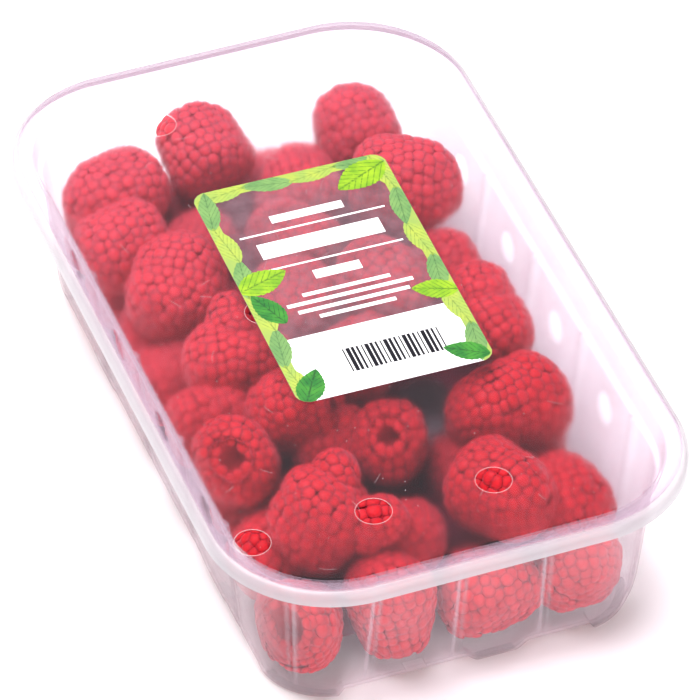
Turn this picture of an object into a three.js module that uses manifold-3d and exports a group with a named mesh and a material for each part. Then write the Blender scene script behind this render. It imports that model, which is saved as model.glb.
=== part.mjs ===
// A punnet of raspberries: a clear moulded tray with a rolled rim, a flat lid film sealed on
// its flange, a label on the film, and the berries inside as one fused heap.
// Millimetres, +Z up, the long side along Y, the origin on the ground under the middle.

import * as THREE from "three";
import Module from "manifold-3d";

const wasm = await Module();
wasm.setup();

// Rim and walls of the tray. An inset is measured inwards from the rim's outer edge.
const RIM_LENGTH = 190;
const RIM_WIDTH = 115;
const RIM_CORNER = 30;
const TRAY_HEIGHT = 44.8;
const WALL = 0.5;
const LIP_DROP = 3.2;
const BEAD_WIDTH = 2;
const BEAD_HEIGHT = 1.2;
const FLANGE_INSET = 5.6;
const LEDGE_HEIGHT = 39;
const LEDGE_OUTER_INSET = 6.3;
const LEDGE_INNER_INSET = 7.5;
const LEDGE_SLOPE = 0.6;
const HEEL_INSET = 11.8;
const HEEL_HEIGHT = 5.2;
const HEEL_RIB_SHARE = 0.6;
const BASE_WIDENING = 1.1;

// The base: a raised floor panel inside a ring that stands on feet.
const FLOOR_HEIGHT = 3.4;
const FLOOR_INSET = 18.6;
const FOOT_INNER_INSET = 17;
const FOOT_OUTER_INSET = 13.6;
const FOOT_LIFT = 2.2;
const FOOT_HALF_WIDTH = 4.5;
const FOOT_SLOPE = 3;
const CORNER_FOOT_ANGLE = 35;

// Upright ribs pressed into the walls.
const RIB_DEPTH = 0.8;
const RIB_HALF_WIDTH = 1.6;
const CORNER_RIB_HALF_ANGLE = 4;
const SHORT_SIDE_RIBS = [-24, -3.5, 17];
const SHORT_SIDE_FEET = [7];
const LONG_SIDE_RIBS = [-57, -27, 3, 33];
const LONG_SIDE_FEET = [-38, 38];
const CORNER_ANGLES = [0, 14, 28, 41, 45, 49, 62, 76, 90];
const TRAY_TOLERANCE = 0.01;

// Round vents through the long walls, and a drain slot in the floor's near edge.
const VENT_RADIUS = 3.9;
const VENT_HEIGHT = 29.6;
const VENT_FIRST_Y = -42.5;
const VENT_PITCH = 30;
const VENT_COUNT = 4;
const VENT_SIDES = 14;
const DRAIN_X = -12.5;
const DRAIN_SIZE = [5, 3, 5];

// Lid film and its punched holes.
const FILM_GAP = 0.3;
const FILM_THICKNESS = 0.2;
const FILM_INSET = 1.8;
const FILM_HOLE_RADIUS = 4.15;
const FILM_HOLE_FIRST_X = -48.4;
const FILM_HOLE_PITCH = 28.9;
const FILM_HOLE_NEAR_Y = -71.3;
const FILM_HOLE_ROW_PITCH = 71.3;

// Label on the film.
const LABEL_WIDTH = 48;
const LABEL_LENGTH = 77;
const LABEL_THICKNESS = 0.15;
const LABEL_CORNER = 3.5;
const LABEL_X = 1.8;
const LABEL_Y = 5;
const LABEL_TURN = -1;

// The berries.
const BERRY_SIDES = 10;
const BERRY_LEVELS = 6;
const BUMP_HEIGHT = 0.5;
const END_MARGIN = 0.35;
const OUTLINE_FULLNESS = 2.6;
const OUTLINE_ROUNDNESS = 0.455;
const OUTLINE_OPEN_WIDTH = 1.1;
const OUTLINE_TAPER = 0.28;
const CAVITY_DEPTH = 0.55;
const CAVITY_WIDTH = 0.42;
const OPEN_END_WIDTH = 0.72;
const OPEN_END_LIP = 0.06;
const HEAP_CLEARANCE = 0.4;
const HEAP_TOLERANCE = 0.15;
const LOWER_SEED = 41;
const LOWER_HEIGHT = 13.5;
const LOWER_PITCH_X = 22.5;
const LOWER_PITCH_Y = 20.3;
const LOWER_COLUMNS = 4;
const LOWER_ROWS = 7;
const LOWER_FIRST_Y = -50;
const LOWER_SPACING = 14.5;
const LOWER_LENGTH = 20;
const LOWER_WIDTH = 18.5;

// The core that holds the heap together, and the gap down to the floor that shows in it.
const CORE_BOTTOM = 8;
const CORE_TOP = 16;
const CORE_INSET = 24;
const POST_RADIUS = 3.5;
const POST_SIDES = 5;
const POST_SHORTFALL = 1;
const GAP_FOOT = [22, 2, 0];
const GAP_TOP = [4, -44, 45];
const GAP_RADIUS = 7;

// Berries that show, from the far end to the near one: x, y and z of the middle, the heading
// and pitch of the tip in degrees, length, width, and true where the open end shows.
const SHOWN_BERRIES = [
  [-33, 67, 30, 195, 0, 27, 22, false],
  [-8, 73, 33, 100, 20, 23, 22, false],
  [12, 60, 25, 80, 20, 23, 21, false],
  [31, 72, 29, 100, 30, 22, 21, false],
  [34, 45, 32, -20, -5, 28, 23, false],
  [-38, 49, 30, 190, 0, 25, 22, false],
  [-29, 31, 30, 60, 25, 27, 24, false],
  [-17, 50, 21, 40, 10, 23, 20, false],
  [3, 40, 27, 120, 0, 24, 21, false],
  [-5, 18, 28, 250, 10, 24, 20, false],
  [17, 15, 30, 300, 0, 25, 21, false],
  [-24.5, 1.5, 30, -20, 0, 27, 20, false],
  [-36, 16, 16, 0, 20, 23, 20, false],
  [35, 22, 22, 80, 20, 21, 20, false],
  [36, 2, 31, 85, 0, 19, 16, false],
  [36, -9, 30, 280, 0, 18, 17, false],
  [2, -6, 29, 30, 10, 23, 21, false],
  [28, -34, 29, 190, 10, 31, 24, false],
  [-20, -20, 31, 150, -20, 22, 20, true],
  [-11, -29, 24, 20, 10, 22, 19, false],
  [-1, -33, 26, 69, -55, 22, 19, true],
  [-35, -8, 22, 0, 0, 24, 20, false],
  [-38, -31, 31, 62, -45, 22, 21, true],
  [-25.5, -54, 28.5, 185, -48, 23, 25, true],
  [-6.5, -59, 22, 60, -20, 21, 18, false],
  [17, -40, 18, 0, 0, 22, 19, false],
  [16, -62, 31, -60, 10, 26, 23, false],
  [31, -63, 25, 90, 20, 23, 20, false],
  [-36, -49, 18, 30, 10, 22, 20, false],
  [-37.4, -69.5, 13, 48, -36, 24, 23, true],
  [-15.5, -72.5, 15, -70, -75, 28, 21, false],
  [8.5, -72.5, 12, 0, 10, 25, 22, false],
  [29.5, -71.5, 14, 90, 20, 25, 22, false],
];

const HALF_WIDTH = RIM_WIDTH / 2;
const HALF_LENGTH = RIM_LENGTH / 2;
const CORNER_X = HALF_WIDTH - RIM_CORNER;
const CORNER_Y = HALF_LENGTH - RIM_CORNER;
const FILM_BOTTOM = TRAY_HEIGHT + FILM_GAP;
const FILM_TOP = FILM_BOTTOM + FILM_THICKNESS;

function radians(degrees) {
  return (degrees * Math.PI) / 180;
}

// Stations run round the rounded rectangle. Each has the centre that its inset is measured
// towards, its outward direction, and how much of a rib and of a foot it carries, 0 to 1.
function station(cx, cy, angle, rib, foot) {
  return { cx, cy, nx: Math.cos(angle), ny: Math.sin(angle), rib, foot };
}

function nearness(at, places, halfWidth, slope) {
  const steps = places.map((place) => (halfWidth + slope - Math.abs(at - place)) / slope);
  return Math.min(1, Math.max(0, ...steps));
}

function sideMarks(ribs, feet) {
  const footReach = FOOT_HALF_WIDTH + FOOT_SLOPE;
  const ribOffsets = [-RIB_HALF_WIDTH, 0, RIB_HALF_WIDTH];
  const footOffsets = [-footReach, -FOOT_HALF_WIDTH, FOOT_HALF_WIDTH, footReach];
  const places = [
    ...ribs.flatMap((rib) => ribOffsets.map((offset) => rib + offset)),
    ...feet.flatMap((foot) => footOffsets.map((offset) => foot + offset)),
  ];
  places.sort((a, b) => a - b);
  return places.map((at) => {
    const rib = nearness(at, ribs, 0, RIB_HALF_WIDTH);
    const foot = nearness(at, feet, FOOT_HALF_WIDTH, FOOT_SLOPE);
    return { at, rib, foot };
  });
}

function cornerStations(cx, cy, startAngle) {
  return CORNER_ANGLES.map((degrees) => {
    const offMiddle = Math.abs(degrees - 45);
    const rib = offMiddle < CORNER_RIB_HALF_ANGLE ? 1 : 0;
    const foot = offMiddle < CORNER_FOOT_ANGLE ? 1 : 0;
    return station(cx, cy, radians(startAngle + degrees), rib, foot);
  });
}

function trayStations() {
  const long = sideMarks(LONG_SIDE_RIBS, LONG_SIDE_FEET);
  const short = sideMarks(SHORT_SIDE_RIBS, SHORT_SIDE_FEET);
  const right = long.map((m) => station(CORNER_X, m.at, 0, m.rib, m.foot));
  const left = long.map((m) => station(-CORNER_X, m.at, Math.PI, m.rib, m.foot));
  const far = short.map((m) => station(m.at, CORNER_Y, Math.PI / 2, m.rib, m.foot));
  const near = short.map((m) => station(m.at, -CORNER_Y, -Math.PI / 2, m.rib, m.foot));
  return [
    ...right,
    ...cornerStations(CORNER_X, CORNER_Y, 0),
    ...far.reverse(),
    ...cornerStations(-CORNER_X, CORNER_Y, 90),
    ...left.reverse(),
    ...cornerStations(-CORNER_X, -CORNER_Y, 180),
    ...near,
    ...cornerStations(CORNER_X, -CORNER_Y, 270),
  ];
}

function ringPoint(place, level) {
  const inset = level.inset + RIB_DEPTH * (level.rib ?? 0) * place.rib;
  const reach = RIM_CORNER - inset;
  const lift = FOOT_LIFT * (level.foot ?? 0) * (1 - place.foot);
  const spread = 1 + (BASE_WIDENING * (level.base ?? 0)) / CORNER_X;
  return [place.cx * spread + place.nx * reach, place.cy + place.ny * reach, level.z + lift];
}

// Makes a closed surface from rings of equal length, capped by a fan at both ends.
function loftRings(rings) {
  const count = rings[0].length;
  const points = rings.flat();
  const faces = [];
  for (let r = 0; r + 1 < rings.length; r += 1) {
    for (let i = 0; i < count; i += 1) {
      const a = r * count + i;
      const b = r * count + ((i + 1) % count);
      faces.push([a, b, b + count], [a, b + count, a + count]);
    }
  }
  const last = (rings.length - 1) * count;
  const startPole = points.push(middleOf(rings[0])) - 1;
  const endPole = points.push(middleOf(rings.at(-1))) - 1;
  for (let i = 0; i < count; i += 1) {
    const next = (i + 1) % count;
    faces.push([startPole, next, i], [endPole, last + i, last + next]);
  }
  return solidFrom(points, faces);
}

function middleOf(ring) {
  const sum = ring.reduce((total, p) => total.map((value, k) => value + p[k]), [0, 0, 0]);
  return sum.map((value) => value / ring.length);
}

// A closed solid from corner points and triangles that point out.
function solidFrom(points, faces) {
  const mesh = new wasm.Mesh({
    numProp: 3,
    vertProperties: new Float32Array(points.flat()),
    triVerts: new Uint32Array(faces.flat()),
  });
  return new wasm.Manifold(mesh);
}

// A closed solid from a geometry whose faces hold their own corners.
function solidFromGeometry(geometry) {
  const loose = geometry.index ? geometry.toNonIndexed() : geometry;
  const corners = loose.getAttribute("position");
  const seen = new Map();
  const points = [];
  const indices = [];
  for (let i = 0; i < corners.count; i += 1) {
    const p = [corners.getX(i), corners.getY(i), corners.getZ(i)];
    const key = p.map((value) => value.toFixed(4)).join();
    if (!seen.has(key)) {
      seen.set(key, points.push(p) - 1);
    }
    indices.push(seen.get(key));
  }
  const faces = [];
  for (let i = 0; i < indices.length; i += 3) {
    const face = indices.slice(i, i + 3);
    if (new Set(face).size === face.length) {
      faces.push(face);
    }
  }
  return solidFrom(points, faces);
}

function geometryFrom(solid) {
  const mesh = solid.getMesh();
  const geometry = new THREE.BufferGeometry();
  geometry.setAttribute("position", new THREE.BufferAttribute(mesh.vertProperties, 3));
  geometry.setIndex(new THREE.BufferAttribute(mesh.triVerts, 1));
  geometry.computeVertexNormals();
  return geometry;
}

// The tray's section, from the middle of its underside out to the lip and back inside.
function traySection() {
  const top = TRAY_HEIGHT;
  const heelRib = HEEL_RIB_SHARE;
  const outside = [
    { inset: FLOOR_INSET, z: FLOOR_HEIGHT, base: 1 },
    { inset: FOOT_INNER_INSET, z: 0, foot: 1, base: 1 },
    { inset: FOOT_OUTER_INSET, z: 0, foot: 1, base: 1 },
    { inset: HEEL_INSET, z: HEEL_HEIGHT, rib: heelRib, base: 1 },
    { inset: LEDGE_INNER_INSET, z: LEDGE_HEIGHT - LEDGE_SLOPE, rib: 1 },
    { inset: LEDGE_OUTER_INSET, z: LEDGE_HEIGHT },
    { inset: FLANGE_INSET - WALL, z: top - WALL },
    { inset: BEAD_WIDTH, z: top - WALL },
    { inset: (BEAD_WIDTH + WALL) / 2, z: top - BEAD_HEIGHT },
    { inset: WALL, z: top - LIP_DROP },
  ];
  const inside = [
    { inset: 0, z: top - LIP_DROP },
    { inset: BEAD_WIDTH * 0.15, z: top - BEAD_HEIGHT },
    { inset: BEAD_WIDTH * 0.5, z: top - BEAD_HEIGHT * 0.3 },
    { inset: BEAD_WIDTH, z: top },
    { inset: FLANGE_INSET, z: top },
    { inset: LEDGE_OUTER_INSET + WALL, z: LEDGE_HEIGHT + WALL },
    { inset: LEDGE_INNER_INSET + WALL, z: LEDGE_HEIGHT - LEDGE_SLOPE + WALL, rib: 1 },
    { inset: HEEL_INSET + WALL, z: HEEL_HEIGHT + WALL / 2, rib: heelRib, base: 1 },
    { inset: FOOT_OUTER_INSET + WALL, z: WALL, foot: 1, base: 1 },
    { inset: FOOT_INNER_INSET - WALL, z: WALL, foot: 1, base: 1 },
    { inset: FLOOR_INSET - WALL, z: FLOOR_HEIGHT + WALL, base: 1 },
  ];
  return [...outside, ...inside];
}

function ventCutters() {
  const cutters = [];
  for (let i = 0; i < VENT_COUNT; i += 1) {
    const bore = new THREE.CylinderGeometry(VENT_RADIUS, VENT_RADIUS, 2 * RIM_WIDTH, VENT_SIDES);
    bore.rotateZ(Math.PI / 2);
    bore.translate(0, VENT_FIRST_Y + i * VENT_PITCH, VENT_HEIGHT);
    cutters.push(solidFromGeometry(bore));
  }
  return cutters;
}

function drainCutter() {
  const slot = new THREE.BoxGeometry(...DRAIN_SIZE);
  slot.translate(DRAIN_X, -HALF_LENGTH + (FOOT_INNER_INSET + FOOT_OUTER_INSET) / 2, FOOT_LIFT);
  return solidFromGeometry(slot);
}

function trayGeometry() {
  const places = trayStations();
  const rings = traySection().map((level) => places.map((place) => ringPoint(place, level)));
  const cutters = wasm.Manifold.union([...ventCutters(), drainCutter()]);
  return geometryFrom(loftRings(rings).subtract(cutters).simplify(TRAY_TOLERANCE));
}

function roundedRectangle(halfX, halfY, radius) {
  const shape = new THREE.Shape();
  const cx = halfX - radius;
  const cy = halfY - radius;
  shape.absarc(cx, cy, radius, 0, Math.PI / 2, false);
  shape.absarc(-cx, cy, radius, Math.PI / 2, Math.PI, false);
  shape.absarc(-cx, -cy, radius, Math.PI, Math.PI * 1.5, false);
  shape.absarc(cx, -cy, radius, Math.PI * 1.5, Math.PI * 2, false);
  return shape;
}

function filmHolePlaces() {
  const middleX = FILM_HOLE_FIRST_X + FILM_HOLE_PITCH;
  return [
    [FILM_HOLE_FIRST_X, FILM_HOLE_NEAR_Y],
    [middleX, FILM_HOLE_NEAR_Y],
    [middleX + FILM_HOLE_PITCH, FILM_HOLE_NEAR_Y],
    [middleX, FILM_HOLE_NEAR_Y + FILM_HOLE_ROW_PITCH],
    [middleX, FILM_HOLE_NEAR_Y + 2 * FILM_HOLE_ROW_PITCH],
  ];
}

function filmGeometry() {
  const sheet = roundedRectangle(
    HALF_WIDTH - FILM_INSET,
    HALF_LENGTH - FILM_INSET,
    RIM_CORNER - FILM_INSET,
  );
  for (const [x, y] of filmHolePlaces()) {
    const hole = new THREE.Path();
    hole.absarc(x, y, FILM_HOLE_RADIUS, 0, Math.PI * 2, true);
    sheet.holes.push(hole);
  }
  const options = { depth: FILM_THICKNESS, bevelEnabled: false, curveSegments: 9 };
  const geometry = new THREE.ExtrudeGeometry(sheet, options);
  geometry.translate(0, 0, FILM_BOTTOM);
  return geometryFrom(solidFromGeometry(geometry));
}

function labelGeometry() {
  const sheet = roundedRectangle(LABEL_WIDTH / 2, LABEL_LENGTH / 2, LABEL_CORNER);
  const options = { depth: LABEL_THICKNESS, bevelEnabled: false, curveSegments: 5 };
  const geometry = new THREE.ExtrudeGeometry(sheet, options);
  geometry.rotateZ(radians(LABEL_TURN));
  geometry.translate(LABEL_X, LABEL_Y, FILM_TOP + FILM_GAP);
  return geometryFrom(solidFromGeometry(geometry));
}

// Half the berry's width at a share of its length, from the open end (0) to the tip (1).
function berryOutline(share) {
  const fromMiddle = Math.abs(2 * share - 1);
  const round = (1 - fromMiddle ** OUTLINE_FULLNESS) ** OUTLINE_ROUNDNESS;
  return (round * (OUTLINE_OPEN_WIDTH - OUTLINE_TAPER * share)) / 2;
}

// The levels of a berry along its length. An open end starts inside, at the hollow's foot.
function berrySection(open) {
  const section = [];
  if (open) {
    section.push({ along: CAVITY_DEPTH, out: CAVITY_WIDTH * 0.3 });
    section.push({ along: CAVITY_DEPTH / 2, out: CAVITY_WIDTH * 0.5 });
    section.push({ along: OPEN_END_LIP, out: CAVITY_WIDTH * 0.58 });
    section.push({ along: 0, out: OPEN_END_WIDTH / 2 });
  }
  for (let i = open ? 1 : 0; i < BERRY_LEVELS; i += 1) {
    const share = (i + END_MARGIN) / (BERRY_LEVELS - 1 + 2 * END_MARGIN);
    section.push({ along: share, out: berryOutline(share), bumpy: true });
  }
  return section;
}

function tipDirection(berry) {
  const heading = radians(berry.heading);
  const pitch = radians(berry.pitch);
  return new THREE.Vector3(
    Math.cos(heading) * Math.cos(pitch),
    Math.sin(heading) * Math.cos(pitch),
    Math.sin(pitch),
  );
}

function berrySolid(berry) {
  const tip = tipDirection(berry);
  const side = new THREE.Vector3(-tip.y, tip.x, 0).normalize();
  const top = new THREE.Vector3().crossVectors(tip, side);
  const middle = new THREE.Vector3(berry.x, berry.y, berry.z);
  const rings = berrySection(berry.open).map((level, row) => {
    const ring = [];
    for (let i = 0; i < BERRY_SIDES; i += 1) {
      const bump = level.bumpy ? BUMP_HEIGHT * ((i + row) % 2 === 0 ? 1 : -1) : 0;
      const reach = level.out * berry.width + bump;
      const angle = (2 * Math.PI * i) / BERRY_SIDES;
      const point = middle
        .clone()
        .addScaledVector(tip, (level.along - 0.5) * berry.length)
        .addScaledVector(side, Math.cos(angle) * reach)
        .addScaledVector(top, Math.sin(angle) * reach);
      ring.push(point.toArray());
    }
    return ring;
  });
  return loftRings(rings);
}

// Draws numbers from 0 to 1 that are the same on every run.
function seededDraws(seed) {
  let state = seed;
  return () => {
    state = (Math.imul(state, 1664525) + 1013904223) >>> 0;
    return state / 2 ** 32;
  };
}

function distance(a, b) {
  return Math.hypot(a.x - b.x, a.y - b.y, a.z - b.z);
}

function distanceToGap(berry) {
  const line = new THREE.Line3(new THREE.Vector3(...GAP_FOOT), new THREE.Vector3(...GAP_TOP));
  const nearest = new THREE.Vector3();
  line.closestPointToPoint(new THREE.Vector3(berry.x, berry.y, berry.z), true, nearest);
  return distance(nearest, berry);
}

function shownBerries() {
  return SHOWN_BERRIES.map(([x, y, z, heading, pitch, length, width, open]) => {
    return { x, y, z, heading, pitch, length, width, open };
  });
}

// The berries on the floor of the tray, in rows, where no berry that shows is in the way.
function lowerBerries(shown) {
  const draw = seededDraws(LOWER_SEED);
  const lower = [];
  for (let row = 0; row < LOWER_ROWS; row += 1) {
    for (let column = 0; column < LOWER_COLUMNS; column += 1) {
      const berry = {
        x: (column - (LOWER_COLUMNS - 1) / 2) * LOWER_PITCH_X + 3 * draw() - 1.5,
        y: LOWER_FIRST_Y + row * LOWER_PITCH_Y + 4 * draw() - 2,
        z: LOWER_HEIGHT + 2 * draw(),
        heading: 360 * draw(),
        pitch: 30 * draw() - 15,
        length: LOWER_LENGTH + 4 * draw(),
        width: LOWER_WIDTH + 2 * draw(),
        open: false,
      };
      const blocked = shown.some((other) => distance(other, berry) < LOWER_SPACING);
      const gapFree = distanceToGap(berry) > GAP_RADIUS + berry.width / 2;
      if (!blocked && gapFree) {
        lower.push(berry);
      }
    }
  }
  return lower;
}

// The room inside the tray, a little clear of its walls, ribs and lid.
function heapRoom() {
  const places = trayStations().map((place) => ({ ...place, rib: 0, foot: 0 }));
  const clear = WALL + RIB_DEPTH + HEAP_CLEARANCE;
  const levels = [
    { inset: FLOOR_INSET, z: FLOOR_HEIGHT + WALL + HEAP_CLEARANCE, base: 1 },
    { inset: HEEL_INSET + clear, z: HEEL_HEIGHT + WALL + HEAP_CLEARANCE, base: 1 },
    { inset: LEDGE_INNER_INSET + clear, z: LEDGE_HEIGHT },
    { inset: LEDGE_INNER_INSET + clear, z: TRAY_HEIGHT - HEAP_CLEARANCE },
  ];
  return loftRings(levels.map((level) => places.map((place) => ringPoint(place, level))));
}

// A slab among the berries with the gap cut through it.
function slabSolid() {
  const width = RIM_WIDTH - 2 * CORE_INSET;
  const length = RIM_LENGTH - 2 * CORE_INSET;
  const slab = new THREE.BoxGeometry(width, length, CORE_TOP - CORE_BOTTOM);
  slab.translate(0, 0, (CORE_TOP + CORE_BOTTOM) / 2);
  const gapLine = new THREE.LineCurve3(new THREE.Vector3(...GAP_FOOT), new THREE.Vector3(...GAP_TOP));
  const gapSection = new THREE.Shape().absarc(0, 0, GAP_RADIUS, 0, Math.PI * 2, false);
  const options = { extrudePath: gapLine, steps: 1, curveSegments: 5 };
  const gap = new THREE.ExtrudeGeometry(gapSection, options);
  return solidFromGeometry(slab).subtract(solidFromGeometry(gap));
}

// A thin post from the slab up into a berry, so that the heap is one piece.
function postSolid(berry) {
  const height = berry.z - CORE_BOTTOM - POST_SHORTFALL;
  const post = new THREE.CylinderGeometry(POST_RADIUS, POST_RADIUS, height, POST_SIDES);
  post.rotateX(Math.PI / 2);
  post.translate(berry.x, berry.y, CORE_BOTTOM + height / 2);
  return solidFromGeometry(post);
}

function coreSolid(berries) {
  const raised = berries.filter((berry) => berry.z > CORE_TOP);
  return wasm.Manifold.union([slabSolid(), ...raised.map(postSolid)]);
}

// The largest closed piece, so that no loose scrap or sealed pocket is left.
function largestPiece(solid) {
  const pieces = solid.decompose();
  return pieces.reduce((best, piece) => (piece.volume() > best.volume() ? piece : best));
}

function heapGeometry() {
  const shown = shownBerries();
  const berries = [...shown, ...lowerBerries(shown)];
  const heap = wasm.Manifold.union([coreSolid(berries), ...berries.map(berrySolid)]);
  return geometryFrom(largestPiece(heap.intersect(heapRoom()).simplify(HEAP_TOLERANCE)));
}

function part(name, geometry, look) {
  const mesh = new THREE.Mesh(geometry, new THREE.MeshStandardMaterial(look));
  mesh.name = name;
  return mesh;
}

const CLEAR_PLASTIC = { color: 0xe9e4ea, roughness: 0.12, metalness: 0, transparent: true, opacity: 0.3 };
const HAZY_FILM = { color: 0xf2eef2, roughness: 0.3, metalness: 0, transparent: true, opacity: 0.25 };
const PRINTED_LABEL = { color: 0xdfe6c0, roughness: 0.45, metalness: 0 };
const BERRY_RED = { color: 0xc8283a, roughness: 0.5, metalness: 0 };

const group = new THREE.Group();
group.add(part("tray", trayGeometry(), CLEAR_PLASTIC));
group.add(part("raspberries", heapGeometry(), BERRY_RED));
group.add(part("lid_film", filmGeometry(), HAZY_FILM));
group.add(part("label", labelGeometry(), PRINTED_LABEL));

export default group;
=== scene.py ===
"""A punnet of raspberries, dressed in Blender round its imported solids.

Sizes are in millimetres and angles in degrees, in the frame of the solids: +Z up, the long side
along Y, the origin on the ground under the middle. A mesh is scaled to metres as its last step.
"""

import logging
import math
from dataclasses import dataclass, field
from enum import Enum
from typing import Callable, Iterable, Optional, Sequence

import bmesh
import bpy
import numpy as np
from mathutils import Matrix, Vector


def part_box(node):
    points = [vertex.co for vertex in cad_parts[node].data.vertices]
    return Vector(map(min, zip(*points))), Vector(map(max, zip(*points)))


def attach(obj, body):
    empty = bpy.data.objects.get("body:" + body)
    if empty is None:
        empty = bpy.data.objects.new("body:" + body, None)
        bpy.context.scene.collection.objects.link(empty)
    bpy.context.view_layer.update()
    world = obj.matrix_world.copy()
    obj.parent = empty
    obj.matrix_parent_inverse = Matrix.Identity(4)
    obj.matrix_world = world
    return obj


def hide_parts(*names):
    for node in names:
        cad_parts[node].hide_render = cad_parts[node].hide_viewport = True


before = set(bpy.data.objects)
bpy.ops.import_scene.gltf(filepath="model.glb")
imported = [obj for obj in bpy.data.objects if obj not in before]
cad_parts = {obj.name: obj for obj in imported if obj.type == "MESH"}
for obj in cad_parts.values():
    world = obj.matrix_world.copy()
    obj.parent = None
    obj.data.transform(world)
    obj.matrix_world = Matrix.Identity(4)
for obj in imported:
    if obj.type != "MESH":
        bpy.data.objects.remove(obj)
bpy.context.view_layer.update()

log = logging.getLogger("punnet")

MM = 0.001
BODY = "root"
SHARP_ANGLE = math.radians(38)
CORNER_MIDDLE_X = 27.5 * MM
CORNER_MIDDLE_Y = 65.0 * MM
DOME_CUT = 0.2
INK_GAP = 0.006

Point = tuple[float, float, float]
Colour = tuple[float, float, float, float]
Box = tuple[float, float, float, float]
Surface = tuple[np.ndarray, np.ndarray]


class Slot(Enum):
    """The material slots of the record."""

    PLASTIC = "clear_plastic"
    FRUIT = "raspberry"
    FILM = "lid_film"
    PRINT = "printed_label"


class Node(Enum):
    """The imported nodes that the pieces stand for."""

    TRAY = "tray"
    BERRIES = "raspberries"
    FILM = "lid_film"
    LABEL = "label"


def linear(code: str) -> Colour:
    """Turns a screen colour into the linear colour that a shader takes.

    Args:
        code: The colour as #rrggbb.

    Returns:
        Red, green, blue and an alpha of 1.
    """
    parts = [int(code[i:i + 2], 16) / 255 for i in (1, 3, 5)]
    red, green, blue = (p / 12.92 if p <= 0.04045 else ((p + 0.055) / 1.055) ** 2.4 for p in parts)
    return red, green, blue, 1.0


def node_box(node: Node) -> tuple[Vector, Vector]:
    """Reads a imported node's box.

    Args:
        node: The node.

    Returns:
        Its lowest and highest corners, in millimetres.
    """
    low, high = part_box(node.value)
    return Vector(low) / MM, Vector(high) / MM


def smooth_step(value: float) -> float:
    """Eases a share from 0 to 1, flat at both ends."""
    share = min(1.0, max(0.0, value))
    return share * share * (3 - 2 * share)


def add_piece(
    bm: bmesh.types.BMesh,
    name: str,
    materials: Sequence[bpy.types.Material],
    node: Optional[Node] = None,
) -> bpy.types.Object:
    """Makes a bmesh in millimetres a piece of the punnet.

    Args:
        bm: The finished shape, which is used up.
        name: The piece's name.
        materials: Its materials, in the order of the faces' material numbers.
        node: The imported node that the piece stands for, if any.

    Returns:
        The new object.
    """
    bmesh.ops.scale(bm, vec=(MM, MM, MM), verts=bm.verts)
    mesh = bpy.data.meshes.new(name)
    bm.to_mesh(mesh)
    bm.free()
    return add_mesh_piece(mesh, name, materials, node)


def add_mesh_piece(
    mesh: bpy.types.Mesh,
    name: str,
    materials: Sequence[bpy.types.Material],
    node: Optional[Node] = None,
) -> bpy.types.Object:
    """Makes a mesh in metres a piece of the punnet.

    Args:
        mesh: The mesh, with its place in its vertices.
        name: The piece's name.
        materials: Its materials, in the order of the faces' material numbers.
        node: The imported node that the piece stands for, if any.

    Returns:
        The new object.
    """
    mesh.shade_smooth()
    mesh.set_sharp_from_angle(angle=SHARP_ANGLE)
    for material in materials:
        mesh.materials.append(material)
    piece = bpy.data.objects.new(name, mesh)
    bpy.context.scene.collection.objects.link(piece)
    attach(piece, BODY)
    if node is not None:
        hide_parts(node.value)
    triangles = sum(len(face.vertices) - 2 for face in mesh.polygons)
    log.info("%s: %d triangles", name, triangles)
    return piece


def cut_away(bm: bmesh.types.BMesh, cutters: bmesh.types.BMesh) -> bmesh.types.BMesh:
    """Takes the cutters' volume out of a shape.

    Args:
        bm: The shape, which is used up.
        cutters: The closed cutters, which are used up.

    Returns:
        The shape with the holes in it.
    """
    made = []
    for name, source in (("stock", bm), ("cutters", cutters)):
        mesh = bpy.data.meshes.new(name)
        source.to_mesh(mesh)
        source.free()
        made.append(bpy.data.objects.new(name, mesh))
        bpy.context.scene.collection.objects.link(made[-1])
    stock, tool = made
    modifier = stock.modifiers.new("holes", "BOOLEAN")
    modifier.operation = "DIFFERENCE"
    modifier.solver = "EXACT"
    modifier.object = tool
    graph = bpy.context.evaluated_depsgraph_get()
    result = bmesh.new()
    result.from_mesh(stock.evaluated_get(graph).to_mesh())
    for obj in made:
        mesh = obj.data
        bpy.data.objects.remove(obj)
        bpy.data.meshes.remove(mesh)
    return result


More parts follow.
